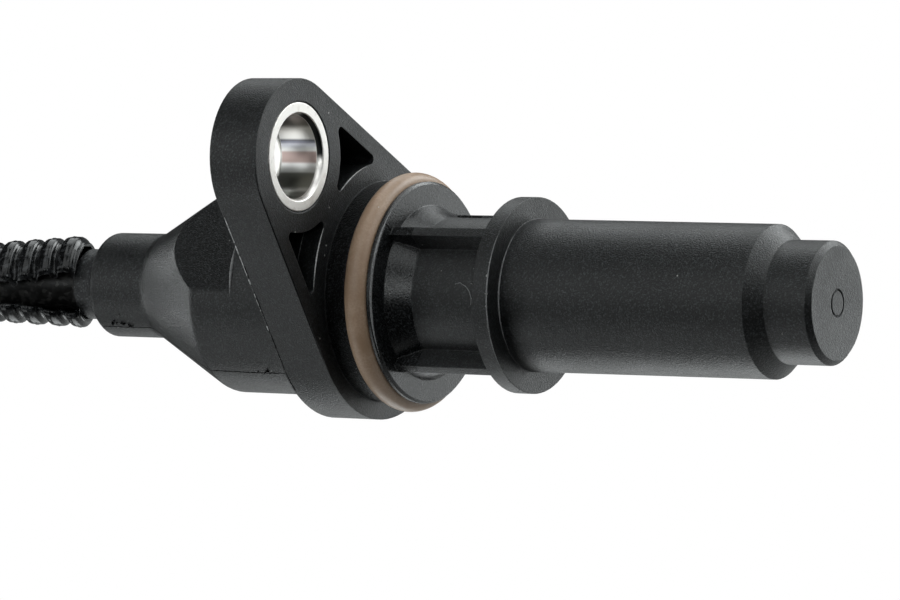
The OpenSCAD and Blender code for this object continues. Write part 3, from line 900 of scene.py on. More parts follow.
@dataclass
class Route:
    """The lead's centreline. It tilts on the spigot, turns over, hangs down and folds once."""

    start: float = -25.9 * MM
    side: float = -6.0 * MM
    rise: tuple[Point, ...] = (
        (-0.0027, -0.00036, 0.00038), (-0.0059, -0.00103, 0.00108),
        (-0.0098, -0.00185, 0.00195), (-0.0155, -0.0030, 0.0028),
        (-0.0230, -0.0042, 0.0022), (-0.0330, -0.0053, -0.0012),
        (-0.0430, -0.0059, -0.0086),
    )
    hang: tuple[Pair, ...] = (
        (-0.0505, -0.0188), (-0.054, -0.031), (-0.054, -0.043), (-0.054, -0.055),
        (-0.054, -0.066), (-0.0525, -0.076), (-0.049, -0.087), (-0.0445, -0.098),
        (-0.040, -0.108), (-0.037, -0.118), (-0.037, -0.128), (-0.040, -0.138),
        (-0.047, -0.146), (-0.0575, -0.149), (-0.068, -0.146), (-0.075, -0.138),
        (-0.078, -0.128), (-0.078, -0.118), (-0.075, -0.108), (-0.0705, -0.098),
        (-0.066, -0.087), (-0.0625, -0.076), (-0.061, -0.066), (-0.061, -0.055),
        (-0.062, -0.045), (-0.065, -0.035), (-0.069, -0.025),
    )

    STEPS = 40

    def knots(self) -> list[Point]:
        """The route's points in the row frame."""
        flat = [(x, self.side, z) for x, z in self.hang]
        return [(self.start + x, y, z) for x, y, z in (*self.rise, *flat)]

    @staticmethod
    def run(line: np.ndarray) -> np.ndarray:
        """Distances along a line."""
        return np.concatenate([[0], np.cumsum(np.linalg.norm(np.diff(line, axis=0), axis=1))])

    @staticmethod
    def along(line: np.ndarray, run: np.ndarray, stops: np.ndarray) -> np.ndarray:
        """Points at some distances along a line."""
        return np.stack([np.interp(stops, run, line[:, k]) for k in range(3)], axis=1)

    @classmethod
    def line(cls, knots: Sequence[Point], step: float) -> np.ndarray:
        """Evenly spaced points on a smooth curve through some points.

        Args:
            knots: The points.
            step: Distance between the results.

        Returns:
            Points (x, y, z), in metres.
        """
        real = [np.array(knot, float) for knot in knots]
        chain = [2 * real[0] - real[1], *real, 2 * real[-1] - real[-2]]
        dense = []
        for a, b, c, d in zip(chain, chain[1:], chain[2:], chain[3:]):
            before, here, after = (
                max(1e-9, float(np.linalg.norm(q - p)) ** 0.5) for p, q in ((a, b), (b, c), (c, d))
            )
            lean_b = ((b - a) / before - (c - a) / (before + here) + (c - b) / here) * here
            lean_c = ((c - b) / here - (d - b) / (here + after) + (d - c) / after) * here
            for t in np.linspace(0, 1, cls.STEPS, endpoint=False):
                dense.append(
                    (2 * t**3 - 3 * t**2 + 1) * b + (t**3 - 2 * t**2 + t) * lean_b
                    + (3 * t**2 - 2 * t**3) * c + (t**3 - t**2) * lean_c
                )
        curve = np.array([*dense, real[-1]])
        run = cls.run(curve)
        return cls.along(curve, run, np.linspace(0, run[-1], int(round(run[-1] / step)) + 1))

    @classmethod
    def frames(
        cls, line: np.ndarray, settle: float, first: Point
    ) -> tuple[np.ndarray, np.ndarray]:
        """Directions across a line.

        Args:
            line: The line's points.
            settle: Length over which the sections turn square to the line itself.
            first: The direction that the first section is square to.

        Returns:
            Directions that start at +Z, and directions that start at -Y.
        """
        ahead = np.gradient(line, axis=0)
        ahead /= np.linalg.norm(ahead, axis=1)[:, None]
        share = np.clip(cls.run(line) / settle, 0, 1)[:, None]
        ahead = share * ahead + (1 - share) * np.array(first)
        ahead /= np.linalg.norm(ahead, axis=1)[:, None]
        normal = np.stack([ahead[:, 2], np.zeros(len(line)), -ahead[:, 0]], axis=1)
        normal /= np.linalg.norm(normal, axis=1)[:, None]
        return normal, np.cross(normal, ahead)

    @staticmethod
    def around(turn: np.ndarray, normal: np.ndarray, side: np.ndarray) -> np.ndarray:
        """Directions round a line."""
        return np.cos(turn)[..., None] * normal[:, None] + np.sin(turn)[..., None] * side[:, None]


@dataclass
class Lead:
    """Split corrugated conduit with the jacketed cable inside it, out to the plug."""

    conduit_finish: Finish
    cable_finish: Finish
    sleeve_finish: Finish
    route: Route = field(default_factory=Route)
    length: float = 0.342
    crest_r: float = 3.3 * MM
    rib_depth: float = 0.52 * MM
    wall: float = 0.22 * MM
    pitch: float = 1.77 * MM
    first_x: float = -26.15 * MM
    end_gap: float = 2.4 * MM
    sample: float = 0.1 * MM
    tilt: Point = (-0.957, -0.199, 0.210)
    settle: float = 3.0 * MM
    skew: float = 0.28 * MM
    skew_rise: float = 1 * MM
    skew_fall: Pair = (1.2 * MM, 5.5 * MM)
    valley_turn: float = 7.0
    fine_ribs: int = 14
    flare: float = 0.5 * MM
    flare_len: float = 8 * MM
    slit_centre: float = 54.0
    slit_half: float = 15.5
    slit_spread: float = 13.0
    slit_wave: Pair = (1.6, 900.0)
    lift: float = 0.2 * MM
    lift_way: Point = (-0.0231, 0.7764, 0.6298)
    lift_fade: Pair = (20 * MM, 25 * MM)
    outer_steps: int = 34
    inner_steps: int = 10
    cable_r: float = 2.0 * MM
    cable_x: float = -25.4 * MM
    cable_step: float = 1.2 * MM
    cable_sides: int = 28
    spigot_x: float = -27.7 * MM
    spigot_reach: float = 0.4 * MM
    sleeve_sides: int = 120
    sleeve_sharp: float = 30.0
    end_nodes: tuple[str, ...] = (
        "cable_tie", "plug_housing", "plug_seal", "wire_seal", "terminal_lock",
        "plug_terminal_left", "plug_terminal_right", "plug_wire_left", "plug_wire_right",
    )

    SLEEVE = tuple(
        (x * MM, r * MM)
        for x, r in (
            (-25.85, 2.62), (-25.85, 2.88), (-28.22, 2.88), (-28.35, 2.76), (-28.35, 2.1),
            (-27.72, 2.1), (-27.72, 2.62),
        )
    )
    # Each rib as places along its pitch, from 0 to 1, and heights, from valley to crest.
    END = ((0.02, 0.0), (0.03, 0.0))
    NEAR = (
        (0.04, 0.0), (0.10, 0.08), (0.15, 0.4), (0.20, 0.76), (0.26, 0.91), (0.36, 0.95),
        (0.46, 0.96), (0.51, 1.05), (0.56, 0.96), (0.65, 0.95), (0.75, 0.91), (0.80, 0.76),
        (0.85, 0.4), (0.90, 0.08),
    )
    FAR = (
        (0.05, 0.0), (0.14, 0.35), (0.23, 0.88), (0.37, 1.0), (0.63, 1.0), (0.77, 0.88),
        (0.86, 0.35), (0.95, 0.0),
    )

    def build(self, effects: Effects) -> list[Piece]:
        """Args:
            effects: The shared effects.

        Returns:
            The three pieces.
        """
        conduit, centre = self._conduit(self.conduit_finish.material(effects))
        finish = self.sleeve_finish.material(effects)
        origin = (0.0, 0.0, 0.0)
        sleeve = MeshMaker.turned(
            "spigot_sleeve", self.SLEEVE, origin, self.sleeve_sides, finish
        )
        sleeve.data.set_sharp_from_angle(angle=math.radians(self.sleeve_sharp))
        cable = self._cable(self.cable_finish.material(effects))
        declare(sleeve)
        declare(conduit, "lead_conduit")
        declare(cable, "lead_cable")
        return [conduit, cable, sleeve]

    def _stations(self) -> tuple[np.ndarray, np.ndarray, np.ndarray]:
        """Rings along the conduit, closer together on the ribs' shoulders.

        Returns:
            Centres, rib heights from 0 to 1, and distances from the start.
        """
        fine = self.route.line([(self.first_x, 0.0, 0.0), *self.route.knots()], self.sample)
        run = self.route.run(fine) - self.end_gap
        phase = list(self.END)
        for rib in range(int(run[-1] / self.pitch) - 1):
            shape = self.NEAR if rib < self.fine_ribs else self.FAR
            phase += [(rib + part, height) for part, height in shape]
        place = np.array([part - self.END[0][0] for part, _ in phase]) * self.pitch
        place = place * run[-1] / place[-1]
        centres = self.route.along(fine, run, place)
        fade = np.clip(1 - (place - self.lift_fade[0]) / self.lift_fade[1], 0, 1)
        centres += fade[:, None] * self.lift * np.array(self.lift_way)
        return centres, np.array([height for _, height in phase]), place

    def _conduit(self, finish: Material) -> tuple[Piece, np.ndarray]:
        """Builds the ribbed tube with its open slit.

        Args:
            finish: Its material.

        Returns:
            The piece and its centreline.
        """
        centres, height, place = self._stations()
        normal, side = self.route.frames(centres, self.settle, self.tilt)
        ahead = np.cross(side, normal)
        after, length = self.skew_fall
        lean = self.skew * np.clip(place / self.skew_rise, 0, 1)
        lean = lean * np.clip(1 - (place - after) / length, 0, 1)
        widen = np.clip(1 - place / self.flare_len, 0, 1)
        outer_r = self.crest_r + self.flare * widen - self.rib_depth * (1 - height)
        wave, rate = self.slit_wave
        half = self.slit_half + self.slit_spread * widen
        half = np.radians(half + wave * np.sin(place * rate) * (1 + widen))[:, None]
        middle = np.radians(self.slit_centre + self.valley_turn * (1 - height))[:, None]
        rings = []
        for share, radius in (
            (np.linspace(0, 1, self.outer_steps), outer_r),
            (np.linspace(1, 0, self.inner_steps), outer_r - self.wall),
        ):
            turn = middle + half + (2 * np.pi - 2 * half) * share
            around = self.route.around(turn, normal, side)
            push = lean[:, None] * (around @ np.array(self.lift_way))
            ring = centres[:, None] + radius[:, None, None] * around
            rings.append(ring + push[..., None] * ahead[:, None])
        points = np.concatenate(rings, axis=1)
        return MeshMaker.tube("conduit_ribbed", points, finish, flipped=True), centres

    def _cable(self, finish: Material) -> Piece:
        """Builds the round cable that runs inside the conduit.

        Args:
            finish: Its material.

        Returns:
            The piece.
        """
        ends = (self.cable_x, self.spigot_x, self.spigot_x - self.spigot_reach)
        knots = [*((x, 0.0, 0.0) for x in ends), *self.route.knots()[1:]]
        line = self.route.line(knots, self.cable_step)
        normal, side = self.route.frames(line, self.settle, (-1.0, 0.0, 0.0))
        turn = np.linspace(0, 2 * np.pi, self.cable_sides, endpoint=False)[None]
        rings = line[:, None] + self.cable_r * self.route.around(turn, normal, side)
        return MeshMaker.tube("cable_jacket", rings, finish, flipped=True)


@dataclass
class SealRing:
    """The O-ring in the boss's groove, with the mould's flash line round it."""

    finish: Finish
    section: float = 1.95 * MM
    flash: float = 0.02 * MM
    around_steps: int = 220
    section_steps: int = 32

    def build(self, effects: Effects) -> list[Piece]:
        """Builds the ring in the place of its CAD solid.

        Args:
            effects: The shared effects.

        Returns:
            The piece.
        """
        low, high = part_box("o_ring")
        radius = self.section / 2
        outline = []
        for k in range(self.section_steps):
            turn = 2 * math.pi * k / self.section_steps
            swell = self.flash if k == self.section_steps // 2 else 0.0
            x, r = -(radius + swell) * math.sin(turn), (radius + swell) * math.cos(turn)
            outline.append((x, high.z - radius + r))
        piece = MeshMaker.turned(
            "seal_ring",
            outline,
            ((low.x + high.x) / 2, 0.0, 0.0),
            self.around_steps,
            self.finish.material(effects),
        )
        return [declare(piece, "o_ring")]


@dataclass
class FlangeBush:
    """The steel bush in the flange's ear, with chamfers and a turned bore."""

    finish: Finish
    axis_z: float = 16.4 * MM
    bore_r: float = 3.2 * MM
    outer_r: float = 4.2 * MM
    chamfer: float = 0.2 * MM
    lead_in: float = 0.55 * MM
    soften: float = 0.3
    sides: int = 160
    sharp: float = 24.0

    def build(self, effects: Effects) -> list[Piece]:
        """Builds the bush in the place of its CAD solid.

        Args:
            effects: The shared effects.

        Returns:
            The piece.
        """
        low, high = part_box("bolt_bush")
        front, back = high.x, low.x
        soft = self.chamfer * self.soften
        wide = self.bore_r + self.chamfer
        outline = [
            (front, wide + soft), (front, self.outer_r - soft),
            (front - soft * 0.4, self.outer_r - soft * 0.3),
            (front - soft * 1.5, self.outer_r), (back + soft * 1.5, self.outer_r),
            (back, self.outer_r - soft), (back, wide + soft), (back + soft, wide),
            (back + self.lead_in, self.bore_r), (front - self.lead_in, self.bore_r),
            (front - soft, wide),
        ]
        piece = MeshMaker.turned(
            "bush_turned",
            outline[::-1],
            (0.0, 0.0, self.axis_z),
            self.sides,
            self.finish.material(effects),
        )
        piece.data.set_sharp_from_angle(angle=math.radians(self.sharp))
        return [declare(piece, "bolt_bush")]


@dataclass(frozen=True)
class Arc:
    """A line round the probe's axis.

    Lengths are in mm, and the span is in degrees from +Z to -Y. The lean says how far the
    line faces along X, from -1 to 1, and wide is its greatest width.
    """

    name: str
    x: float
    radius: float
    span: Pair
    lean: float
    wide: float
    trace: Trace


@dataclass
class BodyMoulding:
    """The CAD body in its grained nylon, with the mould's seams, lines, flash and burrs, and thin
    strips of painted highlight and painted shade along its edges.
    """

    finish: Finish
    traces: dict[Trace, Finish]
    skin: Optional[BVHTree] = field(default=None, init=False)
    seam_w: float = 0.15 * MM
    seam_h: float = 0.022 * MM
    seam_z: float = -0.15 * MM
    seam_reach: float = 20 * MM
    seam_sway: Pair = (0.03 * MM, 900.0)
    lip_y: float = -0.1 * MM
    lip_start: float = 11 * MM
    lip_x: float = 3.5 * MM
    lip_w: float = 0.17 * MM
    flange_back_x: float = -4.12 * MM
    flange_shade_line_x: float = -4.06 * MM
    flange_front_x: float = -0.08 * MM
    flange_fade: Pair = (7.0, 7.0)
    dash_odds: Pair = (0.05, 0.85)
    dash_least: float = 0.06
    probe_r: float = 5.95 * MM
    scratch_w: float = 0.07 * MM
    crumb_size: float = 0.065 * MM
    burr_size: float = 0.09 * MM
    arc_step: float = 0.1 * MM
    reach: float = 30.0
    seed: int = 11

    # Ranges of rays in mm: first, end and step.
    SEAM_X = (-25.3, -4.4, 0.12)
    BACK_EDGE_Z = (16.5, 0.0, -0.06)
    EDGE_Z = (20.6, 3.0, -0.15)
    LIP_Z = (8.9, 6.8, -0.08)
    # A strip's section, as places across it and heights, and what varies its width.
    SECTION = ((-0.5, -0.4), (-0.3, 0.6), (0.0, 1.0), (0.3, 0.6), (0.5, -0.4))
    HIGHEST, TAPER, EDGE_POWER = 1.5, 0.1, 0.6
    SEAM_WIDTHS, ARC_WIDTHS, FLASH_RUN = (0.55, 0.5), (0.75, 0.25), (2, 9)
    # The light arcs are painted highlights on edges; tip_edge is a dark line round the lower side
    # of the tip's edge.
    ARCS = (
        Arc("rim_near", -0.02, 10.3, (7.0, 41.0), 0.7, 0.13, Trace.RUBBED),
        Arc("rim_far", -0.02, 10.3, (-35.0, -5.0), 0.7, 0.12, Trace.RUBBED),
        Arc("flat_edge", -9.12, 8.39, (15.0, 43.0), -0.2, 0.42, Trace.PAINTED_FAINT_HIGHLIGHT),
        Arc("lip_edge", 4.16, 8.66, (-10.0, 74.0), 0.7, 0.26, Trace.WORN),
        Arc("collar_edge", 13.94, 7.64, (-6.0, 92.0), 0.7, 0.13, Trace.WORN),
        Arc("probe_root", 14.02, 5.95, (-14.0, 84.0), 0.3, 0.2, Trace.WORN),
        Arc("tip_edge", 39.6, 4.67, (-226.0, -56.0), 0.5, 0.2, Trace.SEAM),
        Arc("pocket_line", -1.7, 10.3, (12.0, 27.0), 0.0, 0.1, Trace.WORN),
    )
    # Places as x in mm and the direction (y, z) from the axis.
    SCRATCH = (
        (10.07, -3.1, 5.08), (10.51, -3.0, 5.13), (11.07, -3.25, 4.98), (11.4, -3.57, 4.76),
        (11.56, -3.95, 4.44), (11.52, -4.32, 4.08),
    )
    PALE = (
        *(
            (x, -math.sin(math.radians(angle)), math.cos(math.radians(angle)))
            for x, angles in ((13.9, (20, 28, 38, 45, 51, 60, 98, 112)), (12.62, (24, 33, 41)))
            for angle in angles
        ),
        (-4.12, -8.4, 9.0), (-23.2, -1.0, 0.3), (37.5, -1.0, 0.4),
    )
    DARK = tuple(
        (x, -1.0, z)
        for x, z in (
            (-8.3, 0.012), (-7.7, -0.015), (-7.4, 0.02), (-24.2, 0.06), (-23.8, 0.1),
            (-23.3, 0.05), (-22.6, 0.01), (-24.15, 0.1), (-24.05, 0.07), (-23.95, 0.12),
            (-23.85, 0.08), (-23.4, 0.08), (-23.25, 0.1), (-23.1, 0.07), (-23.0, 0.09),
            (-22.85, 0.065), (-22.7, 0.04), (-22.5, 0.0), (-22.4, -0.02),
        )
    )
    CRUMB_POINTS, CRUMB_GROWTH, CRUMB_LIFT = 6, 0.9, 0.3
    CRUMB = (
        (0, 1, 2), (0, 2, 3), (0, 3, 1), (4, 2, 1), (4, 3, 2), (5, 1, 3), (5, 4, 1), (5, 3, 4),
    )

    def build(self, effects: Effects) -> list[Piece]:
        """Dresses the body and adds the traces of its mould, with strips of painted highlight and
        painted shade along edges.

        Args:
            effects: The shared effects.

        Returns:
            The pieces added.
        """
        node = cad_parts["sensor_body"]
        node.data.materials[0] = self.finish.material(effects)
        self.skin = BVHTree.FromPolygons(
            [vertex.co for vertex in node.data.vertices],
            [tuple(face.vertices) for face in node.data.polygons],
        )
        looks = {trace: finish.material(effects) for trace, finish in self.traces.items()}
        # The seam finish also paints shade: the dark lines along the flange's front and back
        # edges.
        seam, worn = looks[Trace.SEAM], looks[Trace.WORN]
        made = [
            self._seam("seam_near", -1.0, seam),
            self._seam("seam_far", 1.0, seam),
            self._lip_line(seam),
            *(self._arc(arc, looks[arc.trace]) for arc in self.ARCS),
            self._flange_flash_and_shade("flange_flash", self.flange_back_x, False, looks[Trace.RUBBED]),
            self._flange_edge(seam),
            self._flange_flash_and_shade("flange_gap", self.flange_shade_line_x, True, seam),
            self._scratch(worn),
            self._crumbs("mould_flash", self.PALE, self.crumb_size, looks[Trace.FLASH]),
            self._crumbs("seam_burrs", self.DARK, self.burr_size, seam),
        ]
        return [declare(piece) for piece in made]

    def _trace(self, starts: Iterable[Point], way: Point) -> list[Spot]:
        """Where parallel rays meet the body. Rays that miss it are left out.

        Args:
            starts: Starts of the rays.
            way: Their direction.

        Returns:
            Points and the surface's normals.
        """
        found = []
        for start in starts:
            place, normal, _, _ = self.skin.ray_cast(Vector(start), Vector(way).normalized())
            if place is not None:
                found.append((np.array(place), np.array(normal)))
        return found

    def _strip(
        self, name: str, line: Sequence[Spot], wide: Sequence[float], finish: Material
    ) -> Piece:
        """A thin raised strip along points on the surface.

        Args:
            name: The piece's name.
            line: Points and normals.
            wide: Width at each point.
            finish: Its material.

        Returns:
            The piece.
        """
        spots, ups = (np.array(part) for part in zip(*line))
        ahead = np.gradient(spots, axis=0)
        ahead /= np.linalg.norm(ahead, axis=1)[:, None] + 1e-12
        side = np.cross(ahead, ups)
        across, above = np.array(self.SECTION).T
        width = np.array(wide)[:, None]
        height = self.seam_h * np.minimum(self.HIGHEST, width / self.seam_w)
        rings = spots[:, None] + side[:, None] * (width * across)[..., None]
        rings = rings + ups[:, None] * (height * above)[..., None]
        return MeshMaker.tube(name, rings, finish)

    def _seam(self, name: str, side: float, finish: Material) -> Piece:
        """The parting seam along one side of the rear housing, cone and strain relief.

        Args:
            name: The piece's name.
            side: -1 for the side towards -Y, 1 for the other one.
            finish: Its material.

        Returns:
            The piece.
        """
        chance = random.Random(self.seed + int(side))
        sway, rate = self.seam_sway
        starts = (
            (x, side * self.seam_reach, self.seam_z + sway * math.sin(x * rate))
            for x in np.arange(*self.SEAM_X) * MM
        )
        line = self._trace(starts, (0.0, -side, 0.0))
        least, more = self.SEAM_WIDTHS
        wide = [self.seam_w * (least + more * chance.random()) for _ in line]
        return self._strip(name, line, wide, finish)

    def _arc(self, arc: Arc, finish: Material) -> Piece:
        """A line round the probe's axis, which tapers at its ends.

        Args:
            arc: Its place and size.
            finish: Its material.

        Returns:
            The piece.
        """
        chance = random.Random(self.seed + len(arc.name))
        radius = arc.radius * MM
        first, last = arc.span
        count = int(abs(math.radians(last - first)) * radius / self.arc_step)
        least, more = self.ARC_WIDTHS
        line, wide = [], []
        for share in np.linspace(0, 1, count):
            turn = math.radians(first + (last - first) * share)
            out = np.array([0.0, -math.sin(turn), math.cos(turn)])
            up = out * math.sqrt(1 - arc.lean**2) + np.array([arc.lean, 0.0, 0.0])
            line.append((np.array([arc.x * MM, 0.0, 0.0]) + out * radius, up))
            taper = self.TAPER + (1 - self.TAPER) * math.sin(math.pi * share)
            wide.append(arc.wide * MM * taper * (least + more * chance.random()))
        return self._strip(arc.name, line, wide, finish)

    def _flange_rays(self, x: float, heights: Point) -> list[Spot]:
        """Points down the flange's near side."""
        starts = ((x, -self.reach * MM, z) for z in np.arange(*heights) * MM)
        return self._trace(starts, (0.0, 1.0, 0.0))

    def _flange_flash_and_shade(self, name: str, x: float, lower: bool, finish: Material) -> Piece:
        """A broken line along the flange's back edge. Made pale it is flash, stronger above; made
        dark it is painted shadow, stronger below.

        Args:
            name: The piece's name.
            x: Its place along the probe's axis.
            lower: Whether it is stronger towards the flange's lower end.
            finish: Its material.

        Returns:
            The piece.
        """
        chance = random.Random(self.seed + len(name))
        line = self._flange_rays(x, self.BACK_EDGE_Z)
        start, fade = self.flange_fade
        least, more = self.dash_odds
        wide, left, strong = [], 0, 0.0
        for place, _ in line:
            if left <= 0:
                left = chance.randint(*self.FLASH_RUN)
                share = min(1.0, max(0.0, (place[2] / MM - start) / fade))
                odds = least + more * (1.0 - share if lower else share)
                shown = chance.random() < odds
                strong = 0.5 + 0.5 * chance.random() if shown else self.dash_least
            left -= 1
            wide.append(self.seam_w * strong)
        return self._strip(name, line, wide, finish)

    def _flange_edge(self, finish: Material) -> Piece:
        """The dark line along the flange's front edge, on the near side: painted shade.

        Args:
            finish: Its material.

        Returns:
            The piece.
        """
        line = self._flange_rays(self.flange_front_x, self.EDGE_Z)
        shares = np.linspace(0, 1, len(line))
        swell = [math.sin(math.pi * share) ** self.EDGE_POWER for share in shares]
        wide = [self.seam_w * (self.TAPER + part) for part in swell]
        return self._strip("flange_edge", line, wide, finish)

    def _lip_line(self, finish: Material) -> Piece:
        """The fine line across the boss's lip, towards the bolt hole.

        Args:
            finish: Its material.

        Returns:
            The piece.
        """
        starts = ((self.lip_start, self.lip_y, z) for z in np.arange(*self.LIP_Z) * MM)
        line = [spot for spot in self._trace(starts, (-1.0, 0.0, 0.0)) if spot[0][0] > self.lip_x]
        return self._strip("lip_line", line, [self.lip_w] * len(line), finish)

    def _scratch(self, finish: Material) -> Piece:
        """A hairline scratch on the neck.

        Args:
            finish: Its material.

        Returns:
            The piece.
        """
        line = []
        for x, y, z in self.SCRATCH:
            out = np.array([0.0, y, z]) / math.hypot(y, z)
            line.append((np.array([x * MM, 0.0, 0.0]) + out * self.probe_r, out))
        return self._strip("neck_scratch", line, [self.scratch_w] * len(line), finish)

    def _crumbs(
        self, name: str, places: Sequence[Point], least: float, finish: Material
    ) -> Piece:
        """Tiny curls of flash that the mould left along edges and seams.

        Args:
            name: The piece's name.
            places: Places as x in mm and the direction (y, z) from the axis.
            least: Their smallest size.
            finish: Their material.

        Returns:
            One piece with all of them.
        """
        chance = random.Random(self.seed)
        points, faces = [], []
        for x, y, z in places:
            far = self.reach / math.hypot(y, z)
            start = (x * MM, y * far * MM, z * far * MM)
            for place, up in self._trace([start], (0.0, -y, -z)):
                size = least * (1 + self.CRUMB_GROWTH * chance.random())
                faces += [tuple(len(points) + k for k in face) for face in self.CRUMB]
                for _ in range(self.CRUMB_POINTS):
                    jitter = np.array([chance.uniform(-1, 1) for _ in range(3)])
                    points.append(place + up * size * self.CRUMB_LIFT + jitter * size)
        return MeshMaker.make(name, np.array(points), faces, finish)


@dataclass
class CadPieces:
    """CAD solids that keep their shape and only get a better material."""

    finishes: Sequence[tuple[Finish, tuple[str, ...]]]

    def build(self, effects: Effects) -> list[Piece]:
        """Dresses each solid.

        Args:
            effects: The shared effects.

        Returns:
            The solids dressed.
        """
        made = []
        for finish, names in self.finishes:
            for name in names:
                made.append(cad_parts[name])
                made[-1].data.materials[0] = finish.material(effects)
        return made


@dataclass
class Softbox:
    """A square area light that faces the part. Its way is given in the camera's axes."""

    name: str
    way: Point
    power: float
    size: float = 0.42
    distance: float = 0.7
    tint: Rgb = (0.96, 1.0, 1.005)

    def place(self, aim: Vector, axes: Sequence[Vector]) -> None:
        """Adds the light.

        Args:
            aim: Where it points.
            axes: The camera's right, up and back directions.
        """
        data = bpy.data.lights.new(self.name, "AREA")
        data.shape = "SQUARE"
        data.size = self.size
        data.energy = self.power
        data.color = self.tint
        made = bpy.data.objects.new(self.name, data)
        bpy.context.scene.collection.objects.link(made)
        out = sum((axis * part for axis, part in zip(axes, self.way)), Vector()).normalized()
        made.location = aim + out * self.distance
        made.rotation_mode = "QUATERNION"
        made.rotation_quaternion = out.to_track_quat("Z", "Y")


@dataclass
class Studio:
    """Camera at the photograph's angle, white paper and soft light."""

    paper: Finish
    eye: Point = (0.196979, -0.194946, 0.246487)
    right: Point = (0.85435, 0.34248, -0.39090)
    up: Point = (-0.02308, 0.77642, 0.62980)
    back: Point = (0.51919, -0.52904, 0.67123)
    lens: float = 187.378
    sensor: float = 36.0
    clip: Pair = (0.01, 20.0)
    aim: Point = (0.002, 0.0, 0.002)
    ambient: float = 0.012
    paper_half: float = 4.0
    paper_drop: float = 0.6
    boxes: tuple[Softbox, ...] = (
        Softbox("box_key", (0.707, 0.707, 0.05), 1.95),
        Softbox("box_key_back", (0.6, 0.6, -0.5), 1.9, 0.3),
        Softbox("box_key_front", (0.6, 0.5, 0.6), 0.75, 0.3),
        Softbox("box_top", (0.0, 1.0, 0.05), 1.4),
        Softbox("box_top_front", (-0.287, 0.693, 0.62), 1.04),
        Softbox("box_left", (-1.0, 0.0, 0.05), 0.72),
        Softbox("box_left_front", (-0.693, 0.287, 0.62), 0.8),
        Softbox("box_low_left", (-0.707, -0.707, 0.05), 0.92),
        Softbox("box_low", (0.0, -1.0, 0.05), 0.14),
        Softbox("box_low_right", (0.707, -0.707, 0.05), 0.22),
        Softbox("box_camera", (-0.2, 0.12, 0.97), 0.55, 0.2),
        Softbox("box_rear_right", (0.8, 0.0, -0.6), 1.02),
        Softbox("box_rear_top", (0.0, 0.8, -0.6), 1.1),
        Softbox("box_rear_left", (-0.8, 0.0, -0.6), 2.6),
        Softbox("box_rear_low", (0.0, -0.8, -0.6), 1.36),
    )

    def camera(self) -> None:
        """Adds the camera and sets the view."""
        data = bpy.data.cameras.new("camera")
        data.lens = self.lens
        data.sensor_fit = "HORIZONTAL"
        data.sensor_width = self.sensor
        data.clip_start, data.clip_end = self.clip
        made = bpy.data.objects.new("camera", data)
        made.location = self.eye
        made.rotation_mode = "QUATERNION"
        turn = Matrix((self.right, self.up, self.back)).transposed()
        made.rotation_quaternion = turn.to_quaternion()
        scene = bpy.context.scene
        scene.collection.objects.link(made)
        scene.camera = made
        scene.view_settings.view_transform = "Standard"

    def light(self, effects: Effects) -> None:
        """Adds the paper, the softboxes and the surroundings.

        Args:
            effects: The shared effects.
        """
        half, level = self.paper_half, CAD_BOX[0].z - self.paper_drop
        corners = ((-half, -half), (half, -half), (half, half), (-half, half))
        points = np.array([(x, y, level) for x, y in corners])
        MeshMaker.make("paper", points, [(0, 1, 2, 3)], self.paper.material(effects))
        axes = [Vector(axis) for axis in (self.right, self.up, self.back)]
        for box in self.boxes:
            box.place(Vector(self.aim), axes)
        world = bpy.data.worlds.new("studio")
        world.use_nodes = True
        bpy.context.scene.world = world
        graph = Graph(world.node_tree)
        seen = graph.node("LightPath").outputs["Is Camera Ray"]
        colour = graph.layer((self.ambient,) * 3, (seen, WHITE))
        graph.fill(graph.find("BACKGROUND"), Color=colour, Strength=1.0)


def body_moulding() -> BodyMoulding:
    """Chooses the body's finishes.

    Returns:
        The body.
    """
    nylon = BodyNylon(
        "nylon_body", (0.0021, 0.0023, 0.0024), 0.36, 8800.0, speck=14.0, specular=0.43
    )
    thin = 0.02 * MM
    traces = {
        Trace.SEAM: MouldedPlastic(
            "nylon_seam_and_shade", (0.001, 0.001, 0.001), 0.8,
            edge=thin, edge_wear_and_highlight_tone=0.0, specular=0.05, dust=0.0,
        )
    }
    # Apart from the flash, these pale finishes paint highlights on edges; two of them also serve
    # the flange's back-edge flash and the scratch.
    for trace, name, base, rough, speck in (
        (Trace.FLASH, "nylon_flash", (0.35, 0.35, 0.34), 0.5, 0.2),
        (Trace.RUBBED, "nylon_flash_and_highlight", (0.42, 0.42, 0.42), 0.4, 0.3),
        (Trace.PAINTED_FAINT_HIGHLIGHT, "nylon_faint_highlight", (0.1, 0.101, 0.102), 0.45, 0.3),
        (Trace.WORN, "nylon_worn_and_highlight", (0.17, 0.172, 0.175), 0.45, 0.3),
    ):
        traces[trace] = MouldedPlastic(name, base, rough, speck=speck, edge=thin)
    return BodyMoulding(nylon, traces)


def lead() -> Lead:
    """Chooses the lead's finishes.

    Returns:
        The lead.
    """
    conduit = MouldedPlastic(
        "conduit_black", (0.005, 0.0052, 0.0055), 0.16, 3000.0, 0.03 * MM, 0.3,
        edge=0.06 * MM, edge_wear_and_highlight_tone=0.0, scuff=0.2, specular=0.25,
    )
    cable = MouldedPlastic(
        "cable_black", (0.007, 0.0068, 0.0066), 0.34, 2600.0, 0.02 * MM, 0.2,
        edge=0.04 * MM, edge_wear_and_highlight_tone=0.0, scuff=0.1,
    )
    return Lead(conduit, cable, MouldedPlastic("nylon_sleeve", (0.01, 0.0105, 0.011)))


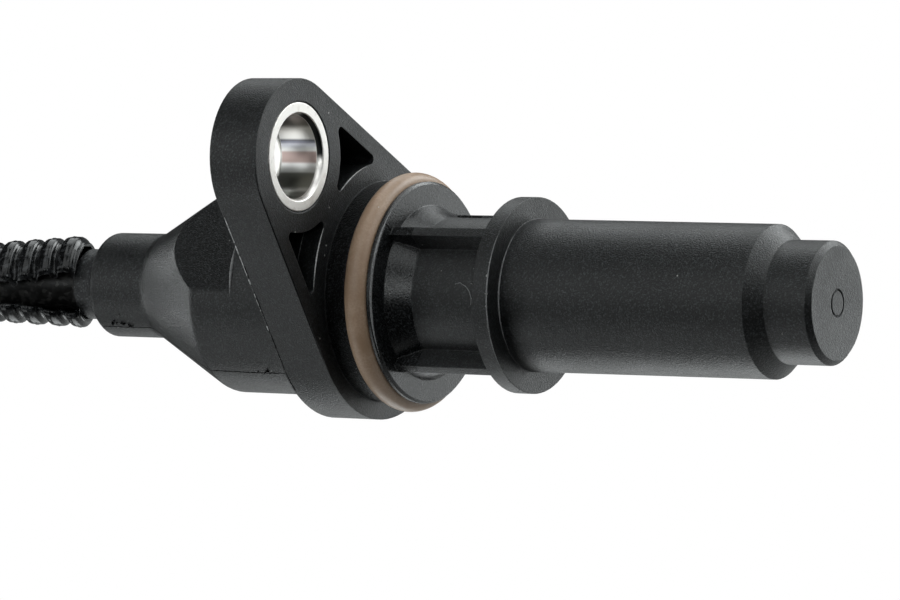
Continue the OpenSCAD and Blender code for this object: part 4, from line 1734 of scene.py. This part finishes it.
def cad_pieces() -> CadPieces:
    """Chooses the finishes of the solids that keep their shape.

    Returns:
        The solids.
    """
    tie = MouldedPlastic("tie_black", (0.012, 0.012, 0.0125), 0.34, 4000.0)
    plug = MouldedPlastic("plug_black", (0.013, 0.0135, 0.014), 0.4, 6500.0)
    bobbin = MouldedPlastic("bobbin_amber", (0.42, 0.28, 0.12), 0.4, speck=0.15)
    lock = MouldedPlastic("lock_ivory", (0.55, 0.52, 0.42), speck=0.15)
    core = MouldedPlastic("core_red", (0.22, 0.02, 0.015), 0.35, speck=0.15, edge=0.04 * MM)
    silicone = Rubber("silicone_red", (0.32, 0.05, 0.03), (0.42, 0.1, 0.07), 0.45)
    tinned = StampedMetal("tinned_strip", (0.66, 0.65, 0.62), 0.28)
    wires = ("core_wire_left", "core_wire_right", "plug_wire_left", "plug_wire_right")
    return CadPieces(
        (
            (TurnedMetal("iron_pin", (0.5, 0.5, 0.51), 0.34), ("pole_pin",)),
            (TurnedMetal("magnet_sintered", (0.24, 0.24, 0.26), 0.5), ("magnet",)),
            (bobbin, ("coil_bobbin",)),
            (Winding("winding_copper"), ("coil_winding",)),
            (StampedMetal("brass_strip"), ("terminal_left", "terminal_right")),
            (core, wires),
            (tie, ("cable_tie",)),
            (plug, ("plug_housing",)),
            (silicone, ("plug_seal", "wire_seal")),
            (lock, ("terminal_lock",)),
            (tinned, ("plug_terminal_left", "plug_terminal_right")),
        )
    )


def main() -> None:
    """Builds the sensor piece by piece."""
    logging.basicConfig(level=logging.INFO, format="%(message)s")
    effects = Effects()
    studio = Studio(Paper("paper_white"))
    studio.camera()
    rubber = Rubber("rubber_brown", (0.265, 0.175, 0.112), (0.36, 0.255, 0.18), 0.44)
    steel = BushSteel("steel_turned", (0.99, 0.96, 0.92), 0.33, 16.4 * MM)
    for assembly in (
        lead(), body_moulding(), SealRing(rubber), FlangeBush(steel), cad_pieces()
    ):
        for piece in assembly.build(effects):
            LOG.info("%s: %d faces", piece.name, len(piece.data.polygons))
    studio.light(effects)


if __name__ == "__main__":
    main()
